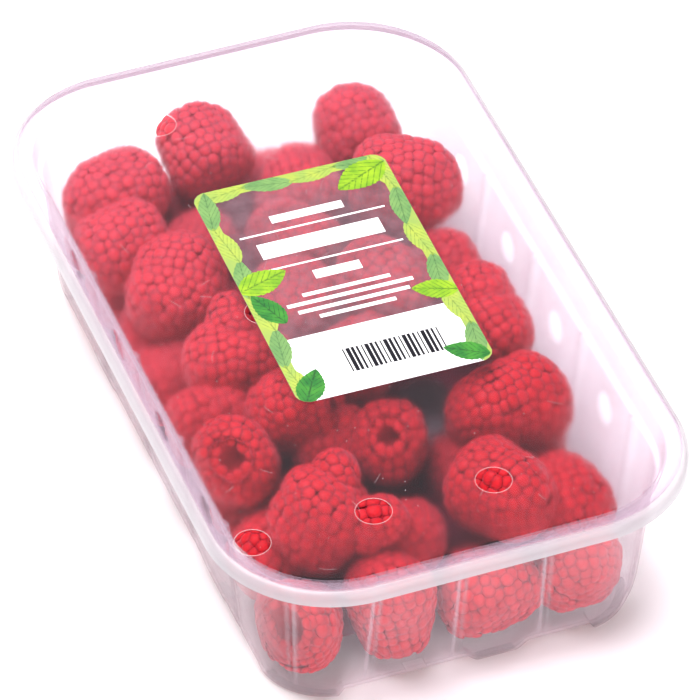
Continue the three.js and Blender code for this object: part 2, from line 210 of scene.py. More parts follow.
class Wiring:
    """Adds nodes to one node tree and joins them."""

    def __init__(self, tree: bpy.types.NodeTree) -> None:
        """Takes the tree over and empties it."""
        self.tree = tree
        tree.nodes.clear()

    def add(self, kind: str, **settings: object) -> bpy.types.Node:
        """Adds a node.

        Args:
            kind: The node's type, without its ShaderNode prefix where it has one.
            settings: Properties to set. A name that isn't a property is a socket's, with _ for a blank.

        Returns:
            The node.
        """
        full = kind if kind.startswith("NodeGroup") else "ShaderNode" + kind
        node = self.tree.nodes.new(full)
        for name, value in settings.items():
            if hasattr(node, name):
                setattr(node, name, value)
            else:
                self.feed(value, node.inputs[name.replace("_", " ")])
        return node

    def feed(self, value: object, socket: bpy.types.NodeSocket) -> None:
        """Sets a socket to a constant, or links it where the value is another node's socket.

        Args:
            value: The constant or the other socket.
            socket: The socket.
        """
        if isinstance(value, bpy.types.NodeSocket):
            self.tree.links.new(value, socket)
        else:
            socket.default_value = value

    def math(self, operation: str, *values: object) -> bpy.types.NodeSocket:
        """Adds a Math node.

        Args:
            operation: Its operation.
            values: Its inputs in order, as numbers or sockets.

        Returns:
            Its output.
        """
        node = self.add("Math", operation=operation)
        for value, socket in zip(values, node.inputs):
            self.feed(value, socket)
        return node.outputs[0]

    def mix(self, share: object, first: object, second: object) -> bpy.types.NodeSocket:
        """Mixes two colours.

        Args:
            share: How much of the second, from 0 to 1.
            first: The first colour.
            second: The second colour.

        Returns:
            The mixed colour.
        """
        node = self.add("Mix", data_type="RGBA")
        self.feed(share, node.inputs[0])
        self.feed(first, node.inputs[6])
        self.feed(second, node.inputs[7])
        return node.outputs[2]

    def remap(
        self,
        value: object,
        low: float,
        high: float,
        to_low: float,
        to_high: float,
    ) -> bpy.types.NodeSocket:
        """Moves a value from one range to another, held at the ends.

        Args:
            value: The value.
            low: The first range's start.
            high: The first range's end.
            to_low: The second range's start.
            to_high: The second range's end.

        Returns:
            The moved value.
        """
        node = self.add("MapRange")
        for part, socket in zip((value, low, high, to_low, to_high), node.inputs):
            self.feed(part, socket)
        return node.outputs[0]

    def attribute(self, name: str) -> bpy.types.NodeSocket:
        """Reads a number kept on the mesh."""
        return self.add("Attribute", attribute_name=name).outputs["Fac"]

    def place(self) -> bpy.types.NodeSocket:
        """Reads the place on the piece, in metres."""
        return self.add("TexCoord").outputs["Object"]


@dataclass(frozen=True)
class SharedPattern:
    """A node group that several materials use."""

    name: str
    inputs: tuple[tuple[str, str, float], ...]
    outputs: tuple[str, ...]
    build: Callable[[Wiring, bpy.types.Node, bpy.types.Node], None]

    def tree(self) -> bpy.types.NodeTree:
        """Builds the group on its first use.

        Returns:
            The group's node tree.
        """
        if self.name in bpy.data.node_groups:
            return bpy.data.node_groups[self.name]
        tree = bpy.data.node_groups.new(self.name, "ShaderNodeTree")
        for name, kind, default in self.inputs:
            socket = tree.interface.new_socket(name, in_out="INPUT", socket_type=kind)
            if kind == "NodeSocketFloat":
                socket.default_value = default
        for name in self.outputs:
            tree.interface.new_socket(name, in_out="OUTPUT", socket_type="NodeSocketFloat")
        wires = Wiring(tree)
        start = wires.add("NodeGroupInput")
        end = wires.add("NodeGroupOutput")
        self.build(wires, start, end)
        return tree

    def use(self, wires: Wiring, **values: object) -> bpy.types.Node:
        """Places the group in a material.

        Args:
            wires: The material's wiring.
            values: Its inputs by name.

        Returns:
            The group node.
        """
        node = wires.add("Group", node_tree=self.tree())
        for name, value in values.items():
            wires.feed(value, node.inputs[name.capitalize()])
        return node


def build_blotches(wires: Wiring, start: bpy.types.Node, end: bpy.types.Node) -> None:
    """Wires soft patches with a finer grain in them.

    Args:
        wires: The group's wiring.
        start: Its input node.
        end: Its output node.
    """
    place, scale = start.outputs["Vector"], start.outputs["Scale"]
    coarse = wires.add("TexNoise", Vector=place, Scale=scale, Detail=3.0)
    finer = wires.math("MULTIPLY", scale, 5.3)
    fine = wires.add("TexNoise", Vector=place, Scale=finer, Detail=2.0)
    wires.feed(wires.remap(coarse.outputs[0], 0.35, 0.65, 0.0, 1.0), end.inputs["Soft"])
    wires.feed(wires.remap(fine.outputs[0], 0.3, 0.7, 0.0, 1.0), end.inputs["Fine"])


def build_reach(wires: Wiring, start: bpy.types.Node, end: bpy.types.Node) -> None:
    """Wires the distance out from the box between the corners' middles, and the height.

    Args:
        wires: The group's wiring.
        start: Its input node.
        end: Its output node.
    """
    place = wires.add("SeparateXYZ", Vector=start.outputs["Vector"])
    parts = []
    for value, half in zip(place.outputs, (CORNER_MIDDLE_X, CORNER_MIDDLE_Y)):
        out = wires.math("SUBTRACT", wires.math("ABSOLUTE", value), half)
        parts.append(wires.math("POWER", wires.math("MAXIMUM", out, 0.0), 2.0))
    wires.feed(wires.math("SQRT", wires.math("ADD", *parts)), end.inputs["Out"])
    wires.feed(place.outputs[2], end.inputs["Height"])


BLOTCHES = SharedPattern(
    "blotches",
    (("Vector", "NodeSocketVector", 0.0), ("Scale", "NodeSocketFloat", 100.0)),
    ("Soft", "Fine"),
    build_blotches,
)
REACH = SharedPattern("reach", (("Vector", "NodeSocketVector", 0.0),), ("Out", "Height"), build_reach)


def new_material(name: str) -> tuple[bpy.types.Material, Wiring, bpy.types.Node]:
    """Starts a material with one Principled shader.

    Args:
        name: The material's name.

    Returns:
        The material, its wiring and the shader.
    """
    material = bpy.data.materials.new(name)
    material.use_nodes = True
    wires = Wiring(material.node_tree)
    shader = wires.add("BsdfPrincipled")
    output = wires.add("OutputMaterial")
    wires.feed(shader.outputs[0], output.inputs["Surface"])
    return material, wires, shader


def let_light_through(wires: Wiring, alpha: object, share: float) -> bpy.types.NodeSocket:
    """Thins an alpha for the lamps' light only, as a printed clear label lets part of it through.

    Args:
        wires: The material's wiring.
        alpha: The alpha as seen.
        share: How much of the light passes.

    Returns:
        The alpha.
    """
    shadow = wires.add("LightPath").outputs["Is Shadow Ray"]
    return wires.math("MULTIPLY", alpha, wires.remap(shadow, 0.0, 1.0, 1.0, 1 - share))


@dataclass(frozen=True)
class ClearPlastic:
    """Thin clear moulded plastic: a faint milky haze, whiter where it is seen edge on, and whiter and
    denser by the thick mark, which is partly thickness and partly painted highlight.
    """

    name: str
    tint: str = "#cab3bf"
    thick_and_highlight_tint: str = "#ccc6cc"
    face_alpha: float = 0.038
    edge_alpha: float = 0.6
    thick_and_highlight_alpha: float = 0.55
    most_alpha: float = 0.95
    edge_blend: float = 0.36
    edge_from: float = 0.26
    haze: tuple[float, float] = (-0.012, 0.018)
    roughness: float = 0.16
    unevenness: float = 0.1
    patch_scale: float = 60.0
    bend: float = 1.5

    def build(self) -> bpy.types.Material:
        """Builds the material.

        Returns:
            The material.
        """
        material, wires, shader = new_material(self.name)
        blotches = BLOTCHES.use(wires, vector=wires.place(), scale=self.patch_scale)
        # The thick mark is partly real thickness and partly painted highlight on the bead and rib
        # flanks.
        tint = wires.mix(wires.attribute("thick"), linear(self.tint), linear(self.thick_and_highlight_tint))
        wires.feed(tint, shader.inputs["Base Color"])
        shader.inputs["IOR"].default_value = self.bend
        edge = wires.add("LayerWeight", Blend=self.edge_blend).outputs["Facing"]
        seen = wires.remap(edge, self.edge_from, 1.0, self.face_alpha, self.edge_alpha)
        thick = wires.math("MULTIPLY", wires.attribute("thick"), self.thick_and_highlight_alpha)
        haze = wires.remap(blotches.outputs["Soft"], 0.0, 1.0, *self.haze)
        alpha = wires.math("ADD", wires.math("ADD", seen, thick), haze)
        wires.feed(wires.math("MINIMUM", alpha, self.most_alpha), shader.inputs["Alpha"])
        roughest = self.roughness + self.unevenness
        rough = wires.remap(blotches.outputs["Fine"], 0.0, 1.0, self.roughness, roughest)
        wires.feed(rough, shader.inputs["Roughness"])
        return material


@dataclass(frozen=True)
class LidFilmFinish:
    """Lid film with a fine haze, which blurs what lies deeper and lets the lamps through."""

    name: str
    tint: str = "#f4ebf5"
    clear: float = 0.989
    roughness: float = 0.19
    unevenness: float = 0.07
    sealed_roughness: float = 0.02
    loose_to: float = 24.4
    sealed_from: float = 25.0
    patch_scale: float = 38.0
    bend: float = 1.15
    light_tint: str = "#f7f2f6"

    def build(self) -> bpy.types.Material:
        """Builds the material.

        Returns:
            The material.
        """
        material, wires, shader = new_material(self.name)
        blotches = BLOTCHES.use(wires, vector=wires.place(), scale=self.patch_scale)
        shader.inputs["Base Color"].default_value = linear(self.tint)
        shader.inputs["Transmission Weight"].default_value = self.clear
        shader.inputs["IOR"].default_value = self.bend
        roughest = self.roughness + self.unevenness
        haze = wires.remap(blotches.outputs["Soft"], 0.0, 1.0, self.roughness, roughest)
        out = REACH.use(wires, vector=wires.place()).outputs["Out"]
        loose = wires.remap(out, self.loose_to * MM, self.sealed_from * MM, 1.0, 0.0)
        rough = wires.math("MAXIMUM", wires.math("MULTIPLY", haze, loose), self.sealed_roughness)
        wires.feed(rough, shader.inputs["Roughness"])
        rays = wires.add("LightPath")
        seen = wires.math("MAXIMUM", rays.outputs["Is Camera Ray"], rays.outputs["Is Transmission Ray"])
        through = wires.add("BsdfTransparent", Color=linear(self.light_tint))
        both = wires.add("MixShader")
        wires.feed(seen, both.inputs[0])
        wires.feed(through.outputs[0], both.inputs[1])
        wires.feed(shader.outputs[0], both.inputs[2])
        output = next(node for node in wires.tree.nodes if node.type == "OUTPUT_MATERIAL")
        wires.feed(both.outputs[0], output.inputs["Surface"])
        return material


@dataclass(frozen=True)
class BerrySkin:
    """Soft red fruit skin over drupelets and faintly downy, with painted shade in the gaps between
    drupelets and on the deep berries inside the heap, and a painted pale veil of reflection towards the
    far end.
    """

    name: str
    crown: str = "#c9121f"
    # Painted shade for the gaps between drupelets; the grain below also mixes it in as random darker
    # patches.
    gap: str = "#920a1c"
    pale: str = "#da2c39"
    # Painted shade colour for the lower berries inside the heap.
    shade: str = "#4c0a1c"
    # Painted reflection: the pale veil colour laid over the far berries.
    painted_veil: str = "#f07c8c"
    sheen_tint: str = "#ffcfe0"
    roughness: float = 0.5
    unevenness: float = 0.18
    shine: float = 0.16
    sheen: float = 0.16
    sheen_roughness: float = 0.55
    subsurface: float = 0.55
    subsurface_depth: float = 2.2
    subsurface_radius: Point = (1.0, 0.22, 0.2)
    grain_share: float = 0.25
    pale_share: float = 0.65
    shade_share: float = 0.72
    shade_from: float = 18.0
    shade_to: float = 34.0
    inside_to: float = 2.0
    outside_from: float = 13.0
    # How much painted veil reaches the far end, and the span along Y that it grows over.
    painted_veil_share: float = 0.27
    painted_veil_from: float = -30.0
    painted_veil_to: float = 75.0
    bump_strength: float = 0.12
    bump_depth: float = 0.2
    patch_scale: float = 170.0

    def build(self) -> bpy.types.Material:
        """Builds the material.

        Returns:
            The material.
        """
        material, wires, shader = new_material(self.name)
        blotches = BLOTCHES.use(wires, vector=wires.place(), scale=self.patch_scale)
        # Painted shade: the colour darkens from each drupelet's crown down into the gaps between
        # drupelets.
        crown = wires.remap(wires.attribute("crown"), 0.1, 0.85, 0.0, 1.0)
        skin = wires.mix(crown, linear(self.gap), linear(self.crown))
        tone = wires.math("MULTIPLY", wires.attribute("tone"), self.pale_share)
        pale = wires.mix(tone, skin, linear(self.pale))
        grain = wires.remap(blotches.outputs["Soft"], 0.0, 1.0, 0.0, self.grain_share)
        skin = wires.mix(grain, pale, linear(self.gap))
        # Painted reflection: a pale veil mixed in more and more towards the far end, along +Y.
        along = wires.add("SeparateXYZ", Vector=wires.place()).outputs[1]
        painted_veil = wires.remap(along, self.painted_veil_from * MM, self.painted_veil_to * MM, 0.0, self.painted_veil_share)
        skin = wires.mix(painted_veil, skin, linear(self.painted_veil))
        # Painted shade: berries lower down and away from the walls are darkened towards the shade
        # colour.
        reach = REACH.use(wires, vector=wires.place())
        height = reach.outputs["Height"]
        deep = wires.remap(height, self.shade_from * MM, self.shade_to * MM, self.shade_share, 0.0)
        out = reach.outputs["Out"]
        inside = wires.remap(out, self.inside_to * MM, self.outside_from * MM, 1.0, 0.0)
        shaded = wires.mix(wires.math("MULTIPLY", deep, inside), skin, linear(self.shade))
        wires.feed(shaded, shader.inputs["Base Color"])
        roughest = self.roughness + self.unevenness
        rough = wires.remap(blotches.outputs["Fine"], 0.0, 1.0, self.roughness, roughest)
        wires.feed(rough, shader.inputs["Roughness"])
        bump = wires.add("Bump", Strength=self.bump_strength, Distance=self.bump_depth * MM)
        wires.feed(blotches.outputs["Fine"], bump.inputs["Height"])
        wires.feed(bump.outputs[0], shader.inputs["Normal"])
        shader.inputs["Specular IOR Level"].default_value = self.shine
        shader.inputs["Sheen Weight"].default_value = self.sheen
        shader.inputs["Sheen Roughness"].default_value = self.sheen_roughness
        shader.inputs["Sheen Tint"].default_value = linear(self.sheen_tint)
        shader.inputs["Subsurface Weight"].default_value = self.subsurface
        shader.inputs["Subsurface Radius"].default_value = self.subsurface_radius
        shader.inputs["Subsurface Scale"].default_value = self.subsurface_depth * MM
        return material


@dataclass(frozen=True)
class LeafPrint:
    """Printed leaf green: two greens in patches, with darker veins along the leaf's own map."""

    name: str
    light: str
    dark: str
    vein: str
    vein_scale: float = 7.0
    vein_slant: float = 0.7
    roughness: float = 0.45
    patch_scale: float = 260.0
    lets_light: float = 0.8

    def build(self) -> bpy.types.Material:
        """Builds the material.

        Returns:
            The material.
        """
        material, wires, shader = new_material(self.name)
        blotches = BLOTCHES.use(wires, vector=wires.place(), scale=self.patch_scale)
        green = wires.mix(blotches.outputs["Soft"], linear(self.light), linear(self.dark))
        uv = wires.add("SeparateXYZ", Vector=wires.add("UVMap", uv_map="leaf").outputs[0])
        off_rib = wires.math("ABSOLUTE", wires.math("SUBTRACT", uv.outputs[1], 0.5))
        slant = wires.math("MULTIPLY", off_rib, self.vein_slant)
        swept = wires.math("SUBTRACT", uv.outputs[0], slant)
        wave = wires.math("SINE", wires.math("MULTIPLY", swept, self.vein_scale * 2 * math.pi))
        side = wires.remap(wave, 0.72, 0.98, 0.0, 0.75)
        rib = wires.remap(off_rib, 0.0, 0.05, 0.9, 0.0)
        veins = wires.math("MAXIMUM", side, rib)
        wear = wires.remap(blotches.outputs["Fine"], 0.2, 0.6, 0.15, 1.0)
        broken = wires.math("MULTIPLY", veins, wear)
        wires.feed(wires.mix(broken, green, linear(self.vein)), shader.inputs["Base Color"])
        shader.inputs["Roughness"].default_value = self.roughness
        wires.feed(let_light_through(wires, 1.0, self.lets_light), shader.inputs["Alpha"])
        return material


@dataclass(frozen=True)
class PlainPrint:
    """Plain printed ink, with a little unevenness."""

    name: str
    ink: str
    worn: str
    alpha: float = 1.0
    alpha_spread: float = 0.04
    wear: float = 0.35
    roughness: float = 0.42
    shine: float = 0.15
    patch_scale: float = 300.0
    lets_light: float = 0.8

    def build(self) -> bpy.types.Material:
        """Builds the material.

        Returns:
            The material.
        """
        material, wires, shader = new_material(self.name)
        blotches = BLOTCHES.use(wires, vector=wires.place(), scale=self.patch_scale)
        share = wires.math("MULTIPLY", blotches.outputs["Fine"], self.wear)
        wires.feed(wires.mix(share, linear(self.ink), linear(self.worn)), shader.inputs["Base Color"])
        shader.inputs["Roughness"].default_value = self.roughness
        shader.inputs["Specular IOR Level"].default_value = self.shine
        low = self.alpha - self.alpha_spread if self.alpha < 1 else 1.0
        high = min(1.0, self.alpha + self.alpha_spread)
        seen = wires.remap(blotches.outputs["Soft"], 0.0, 1.0, low, high)
        wires.feed(let_light_through(wires, seen, self.lets_light), shader.inputs["Alpha"])
        return material


@dataclass(frozen=True)
class Station:
    """A place on the walk round the rim, from which every level of the wall is set in."""

    cx: float
    cy: float
    nx: float
    ny: float
    rib: float
    foot: float


@dataclass(frozen=True)
class Level:
    """A corner of the tray's section.

    It says how much of ribs, feet and base widening the corner takes, how thick the plastic looks
    there, and the radius that it is rounded with.
    """

    inset: float
    z: float
    rib: float = 0.0
    foot: float = 0.0
    base: float = 0.0
    thick: float = 0.0
    bend: float = 0.0

    def toward(self, other: "Level", share: float) -> "Level":
        """Finds the level part of the way to another one.

        Args:
            other: The other level.
            share: How far, from 0 to 1.

        Returns:
            The level between them.
        """
        names = ("inset", "z", "rib", "foot", "base", "thick")
        parts = {n: getattr(self, n) * (1 - share) + getattr(other, n) * share for n in names}
        return Level(**parts)

    def distance(self, other: "Level") -> float:
        """Measures the section's length to another level."""
        return math.hypot(self.inset - other.inset, self.z - other.z)


def round_section(corners: Sequence[Level], steps: int = 3) -> list[Level]:
    """Rounds the corners of a section by their bends.

    Args:
        corners: The section's corners.
        steps: How many strips a bend has.

    Returns:
        The levels of the rounded section.
    """
    levels = [corners[0]]
    for before, corner, after in zip(corners, corners[1:], corners[2:]):
        if corner.bend == 0:
            levels.append(corner)
            continue
        start = corner.toward(before, min(0.48, corner.bend / corner.distance(before)))
        end = corner.toward(after, min(0.48, corner.bend / corner.distance(after)))
        for step in range(steps + 1):
            share = step / steps
            levels.append(start.toward(corner, share).toward(corner.toward(end, share), share))
    levels.append(corners[-1])
    return levels


@dataclass
class TrayShape:
    """The walk round the tray and the room inside it, shared by the tray and the berries."""

    width: float = 115.0
    length: float = 190.0
    height: float = 44.8
    corner: float = 30.0
    wall: float = 0.5
    ledge_inset: float = 7.5
    ledge_height: float = 39.0
    heel_inset: float = 11.8
    heel_height: float = 5.2
    floor_inset: float = 18.6
    floor_height: float = 3.4
    base_widening: float = 1.1
    rib_depth: float = 0.8
    rib_half_width: float = 1.6
    # How strongly the flanks of the ribs are painted as highlight.
    rib_highlight: float = 0.35
    foot_lift: float = 2.2
    foot_half_width: float = 4.5
    foot_slope: float = 3.0
    corner_foot_angle: float = 35.0
    corner_rib_angle: float = 4.0
    long_ribs: tuple[float, ...] = (-57.0, -27.0, 3.0, 33.0)
    short_ribs: tuple[float, ...] = (-24.0, -3.5, 17.0)
    long_feet: tuple[float, ...] = (-38.0, 38.0)
    short_feet: tuple[float, ...] = (7.0,)
    station_pitch: float = 3.5
    least_pitch: float = 0.15
    clearance: float = 0.4
    floor_softness: float = 0.6
    lid_softness: float = 0.8

    @property
    def corner_x(self) -> float:
        """Half the straight stretch along X."""
        return self.width / 2 - self.corner

    @property
    def corner_y(self) -> float:
        """Half the straight stretch along Y."""
        return self.length / 2 - self.corner

    def rib_weight(self, at: float, ribs: Sequence[float]) -> float:
        """Gives how much rib there is at a place along a side."""
        nearest = min(abs(at - rib) for rib in ribs)
        return smooth_step(1 - nearest / self.rib_half_width)

    def foot_weight(self, at: float, feet: Sequence[float]) -> float:
        """Gives how much foot there is at a place along a side."""
        nearest = min(abs(at - foot) for foot in feet)
        return smooth_step(1 - (nearest - self.foot_half_width) / self.foot_slope)

    def side_places(self, half: float, ribs: Sequence[float], feet: Sequence[float]) -> list[float]:
        """Lists the places of the stations along a side, closer together over ribs and feet.

        Args:
            half: Half the straight stretch.
            ribs: The middles of the ribs.
            feet: The middles of the feet.

        Returns:
            The places in order.
        """
        places = set(np.linspace(-half, half, round(half * 2 / self.station_pitch) + 1)[1:-1])
        for rib in ribs:
            near = {p for p in places if abs(p - rib) < self.rib_half_width + 0.8}
            places = (places - near) | set(rib + np.linspace(-1, 1, 9) * self.rib_half_width)
        for foot in feet:
            for end in (-1, 1):
                start = foot + end * self.foot_half_width
                places |= set(start + end * np.linspace(0, 1, 5) * self.foot_slope)
        ordered = sorted(float(p) for p in places)
        following = ordered[1:] + [math.inf]
        return [p for p, after in zip(ordered, following) if after - p > self.least_pitch]

    def corner_run(self, cx: float, cy: float, start: float) -> list[Station]:
        """Lists the stations round a corner.

        Args:
            cx: The corner's centre along X.
            cy: The corner's centre along Y.
            start: The angle of its first station.

        Returns:
            The stations.
        """
        run = []
        for turn in np.linspace(0, 90, 37):
            off = abs(turn - 45)
            rib = smooth_step(1 - off / self.corner_rib_angle)
            foot = smooth_step((self.corner_foot_angle + 5 - off) / 5)
            angle = math.radians(start + turn)
            run.append(Station(cx, cy, math.cos(angle), math.sin(angle), rib, foot))
        return run

    def side_run(self, along_y: bool, sign: int) -> list[Station]:
        """Lists the stations along one straight side, in the order of the walk.

        Args:
            along_y: True for a long side.
            sign: 1 for the side at +X or +Y, -1 for the other.

        Returns:
            The stations.
        """
        ribs = self.long_ribs if along_y else self.short_ribs
        feet = self.long_feet if along_y else self.short_feet
        places = self.side_places(self.corner_y if along_y else self.corner_x, ribs, feet)
        if (sign > 0) != along_y:
            places = places[::-1]
        run = []
        for at in places:
            marks = self.rib_weight(at, ribs), self.foot_weight(at, feet)
            if along_y:
                run.append(Station(sign * self.corner_x, at, sign, 0.0, *marks))
            else:
                run.append(Station(at, sign * self.corner_y, 0.0, sign, *marks))
        return run

    def walk(self) -> list[Station]:
        """Lists the stations all the way round, starting on the side at +X.

        Returns:
            The stations.
        """
        x, y = self.corner_x, self.corner_y
        return [
            *self.side_run(True, 1),
            *self.corner_run(x, y, 0),
            *self.side_run(False, 1),
            *self.corner_run(-x, y, 90),
            *self.side_run(True, -1),
            *self.corner_run(-x, -y, 180),
            *self.side_run(False, -1),
            *self.corner_run(x, -y, 270),
        ]

    def point(self, place: Station, level: Level) -> Point:
        """Places one corner of the section at one station.

        Args:
            place: The station.
            level: The section's level.

        Returns:
            The point, in millimetres.
        """
        reach = self.corner - level.inset - self.rib_depth * level.rib * place.rib
        lift = self.foot_lift * level.foot * (1 - place.foot)
        spread = 1 + self.base_widening * level.base / self.corner_x
        return place.cx * spread + place.nx * reach, place.cy + place.ny * reach, level.z + lift

    def loft(self, levels: Sequence[Level]) -> bmesh.types.BMesh:
        """Draws a closed skin round the walk, level by level, and fills both ends.

        Args:
            levels: The section.

        Returns:
            The skin, with each level's thickness mark kept on its vertices.
        """
        stations = self.walk()
        bm = bmesh.new()
        number = bm.verts.layers.int.new("station")
        thick = bm.verts.layers.float.new("thick")
        ring = bmesh.ops.create_circle(bm, segments=len(stations), radius=1.0)["verts"]
        for index, vert in enumerate(ring):
            vert[number] = index
        edges = list(bm.edges)
        first = edges
        for step, level in enumerate(levels):
            if step:
                grown = bmesh.ops.extrude_edge_only(bm, edges=edges)["geom"]
                ring = [item for item in grown if isinstance(item, bmesh.types.BMVert)]
                fresh = set(ring)
                drawn = [item for item in grown if isinstance(item, bmesh.types.BMEdge)]
                edges = [edge for edge in drawn if fresh >= set(edge.verts)]
            for vert in ring:
                vert.co = self.point(stations[vert[number]], level)
                rib = stations[vert[number]].rib
                # The thick mark also paints a highlight along the flanks of each rib.
                vert[thick] = level.thick + self.rib_highlight * level.rib * 4 * rib * (1 - rib)
        bmesh.ops.edgeloop_fill(bm, edges=first)
        bmesh.ops.edgeloop_fill(bm, edges=edges)
        bmesh.ops.recalc_face_normals(bm, faces=bm.faces)
        return bm

    def keep_inside(self, points: np.ndarray, softness: float, margin: float = 0.0) -> np.ndarray:
        """Presses points back into the room inside the walls, floor and lid.

        Args:
            points: The points, in millimetres.
            softness: How gently a point near a wall is pressed back.
            margin: How much farther inside they stay.

        Returns:
            The moved points.
        """
        clear = self.wall + self.rib_depth + self.clearance + margin
        low = self.floor_height + self.wall + self.clearance + margin
        high = self.height - self.clearance - margin
        moved = points.copy()
        moved[:, 2] = low + soft_positive(moved[:, 2] - low, self.floor_softness)
        moved[:, 2] = high - soft_positive(high - moved[:, 2], min(softness, self.lid_softness))
        z = moved[:, 2]
        heights = [low, self.heel_height + self.wall + self.clearance, self.ledge_height]
        insets = [self.floor_inset, self.heel_inset + clear, self.ledge_inset + clear]
        inset = np.interp(z, heights, insets)
        spread = self.base_widening * np.interp(z, heights, [1.0, 1.0, 0.0])
        cx, cy = self.corner_x + spread, self.corner_y
        out_x = np.maximum(np.abs(moved[:, 0]) - cx, 0.0)
        out_y = np.maximum(np.abs(moved[:, 1]) - cy, 0.0)
        out = np.hypot(out_x, out_y)
        room = self.corner - inset
        pressed = room - soft_positive(room - out, softness)
        scale = np.where(out > 1e-6, pressed / np.maximum(out, 1e-6), 1.0)
        moved[:, 0] -= np.sign(moved[:, 0]) * out_x * (1 - np.minimum(scale, 1))
        moved[:, 1] -= np.sign(moved[:, 1]) * out_y * (1 - np.minimum(scale, 1))
        return moved


def soft_positive(values: np.ndarray, softness: float) -> np.ndarray:
    """Keeps values above zero, with a gentle bend near it."""
    return softness * np.logaddexp(0.0, values / softness)


@dataclass
class Tray:
    """The clear tray: rolled rim, flange, ribbed walls with vents, and a raised floor on feet."""

    shape: TrayShape
    lip_drop: float = 3.2
    vent_radius: float = 3.9
    vent_height: float = 29.6
    vent_first_y: float = -42.5
    vent_pitch: float = 30.0
    vent_count: int = 4
    drain_x: float = -12.5
    drain_size: Point = (5.0, 3.0, 5.0)
    drain_inset: float = 15.3

    def section(self) -> list[Level]:
        """Gives the section from the middle of the underside out to the lip and back inside."""
        s = self.shape
        top, wall = s.height, s.wall
        ledge = s.ledge_height
        corners = [
            Level(s.floor_inset + 8, s.floor_height, base=1),
            Level(s.floor_inset, s.floor_height, base=1, bend=0.9),
            Level(17.0, 0.0, foot=1, base=1, thick=0.15, bend=0.6),
            Level(13.6, 0.0, foot=1, base=1, thick=0.15, bend=0.7),
            Level(s.heel_inset, s.heel_height, rib=0.6, base=1, bend=4),
            Level(s.ledge_inset, ledge - 0.6, rib=1, thick=0.0, bend=0.5),
            Level(6.3, ledge, thick=0.1, bend=0.5),
            Level(5.1, top - wall, thick=0.1, bend=0.4),
            # Round the lip and the rolled bead the thick mark is partly painted highlight of the bead.
            Level(2.0, top - wall, thick=0.6, bend=0.3),
            Level(1.1, top - 1.4, thick=0.8, bend=0.3),
            Level(0.5, top - self.lip_drop, thick=1),
            Level(0.0, top - self.lip_drop, thick=1),
            Level(0.2, top - 1.5, thick=0.85, bend=0.3),
            Level(0.9, top - 0.1, thick=0.9, bend=0.8),
            Level(2.2, top, thick=0.45, bend=0.5),
            Level(2.9, top - 0.2, thick=0.05, bend=0.2),
            Level(5.6, top - 0.2, thick=0.05, bend=0.4),
            Level(6.8, ledge + wall, thick=0.1, bend=0.5),
            Level(s.ledge_inset + wall, ledge - 0.1, rib=1, thick=0.0, bend=0.5),
            Level(s.heel_inset + wall, s.heel_height + 0.25, rib=0.6, base=1, bend=4),
            Level(14.1, wall, foot=1, base=1, bend=0.6),
            Level(16.5, wall, foot=1, base=1, bend=0.5),
            Level(s.floor_inset - wall, s.floor_height + wall, base=1, bend=0.9),
            Level(s.floor_inset + 8, s.floor_height + wall, base=1),
        ]
        return round_section(corners)

    def cutters(self) -> bmesh.types.BMesh:
        """Makes the bores of the vents and the drain slot.

        Returns:
            The cutters.
        """
        bm = bmesh.new()
        across = Matrix.Rotation(math.pi / 2, 4, "Y")
        for index in range(self.vent_count):
            middle = Vector((0, self.vent_first_y + index * self.vent_pitch, self.vent_height))
            bmesh.ops.create_cone(
                bm,
                cap_ends=True,
                segments=40,
                radius1=self.vent_radius,
                radius2=self.vent_radius,
                depth=2 * self.shape.width,
                matrix=Matrix.Translation(middle) @ across,
            )
        drain_y = -self.shape.length / 2 + self.drain_inset
        place = Matrix.Translation((self.drain_x, drain_y, self.shape.foot_lift))
        size = Matrix.Diagonal((*self.drain_size, 1.0))
        bmesh.ops.create_cube(bm, size=1.0, matrix=place @ size)
        return bm

    def build(self) -> list[bpy.types.Object]:
        """Builds the tray and dresses it.

        Returns:
            The pieces.
        """
        skin = cut_away(self.shape.loft(self.section()), self.cutters())
        finish = ClearPlastic("tray_plastic").build()
        return [add_piece(skin, "tray_skin", [finish], Node.TRAY)]


def rounded_loop(
    bm: bmesh.types.BMesh,
    half_x: float,
    half_y: float,
    radius: float,
    z: float,
    steps: int = 96,
) -> list[bmesh.types.BMEdge]:
    """Draws a loop round a rounded rectangle.

    Args:
        bm: The bmesh that it is drawn in.
        half_x: Half its size along X.
        half_y: Half its size along Y.
        radius: Its corners' radius.
        z: Its height.
        steps: How many points its four corners have in all.

    Returns:
        Its edges.
    """
    ring = bmesh.ops.create_circle(bm, segments=steps, radius=radius)["verts"]
    for vert in ring:
        shift_x = math.copysign(half_x - radius, vert.co.x + 1e-4)
        shift_y = math.copysign(half_y - radius, vert.co.y + 1e-4)
        vert.co = (vert.co.x + shift_x, vert.co.y + shift_y, z)
    return list({edge for vert in ring for edge in vert.link_edges})


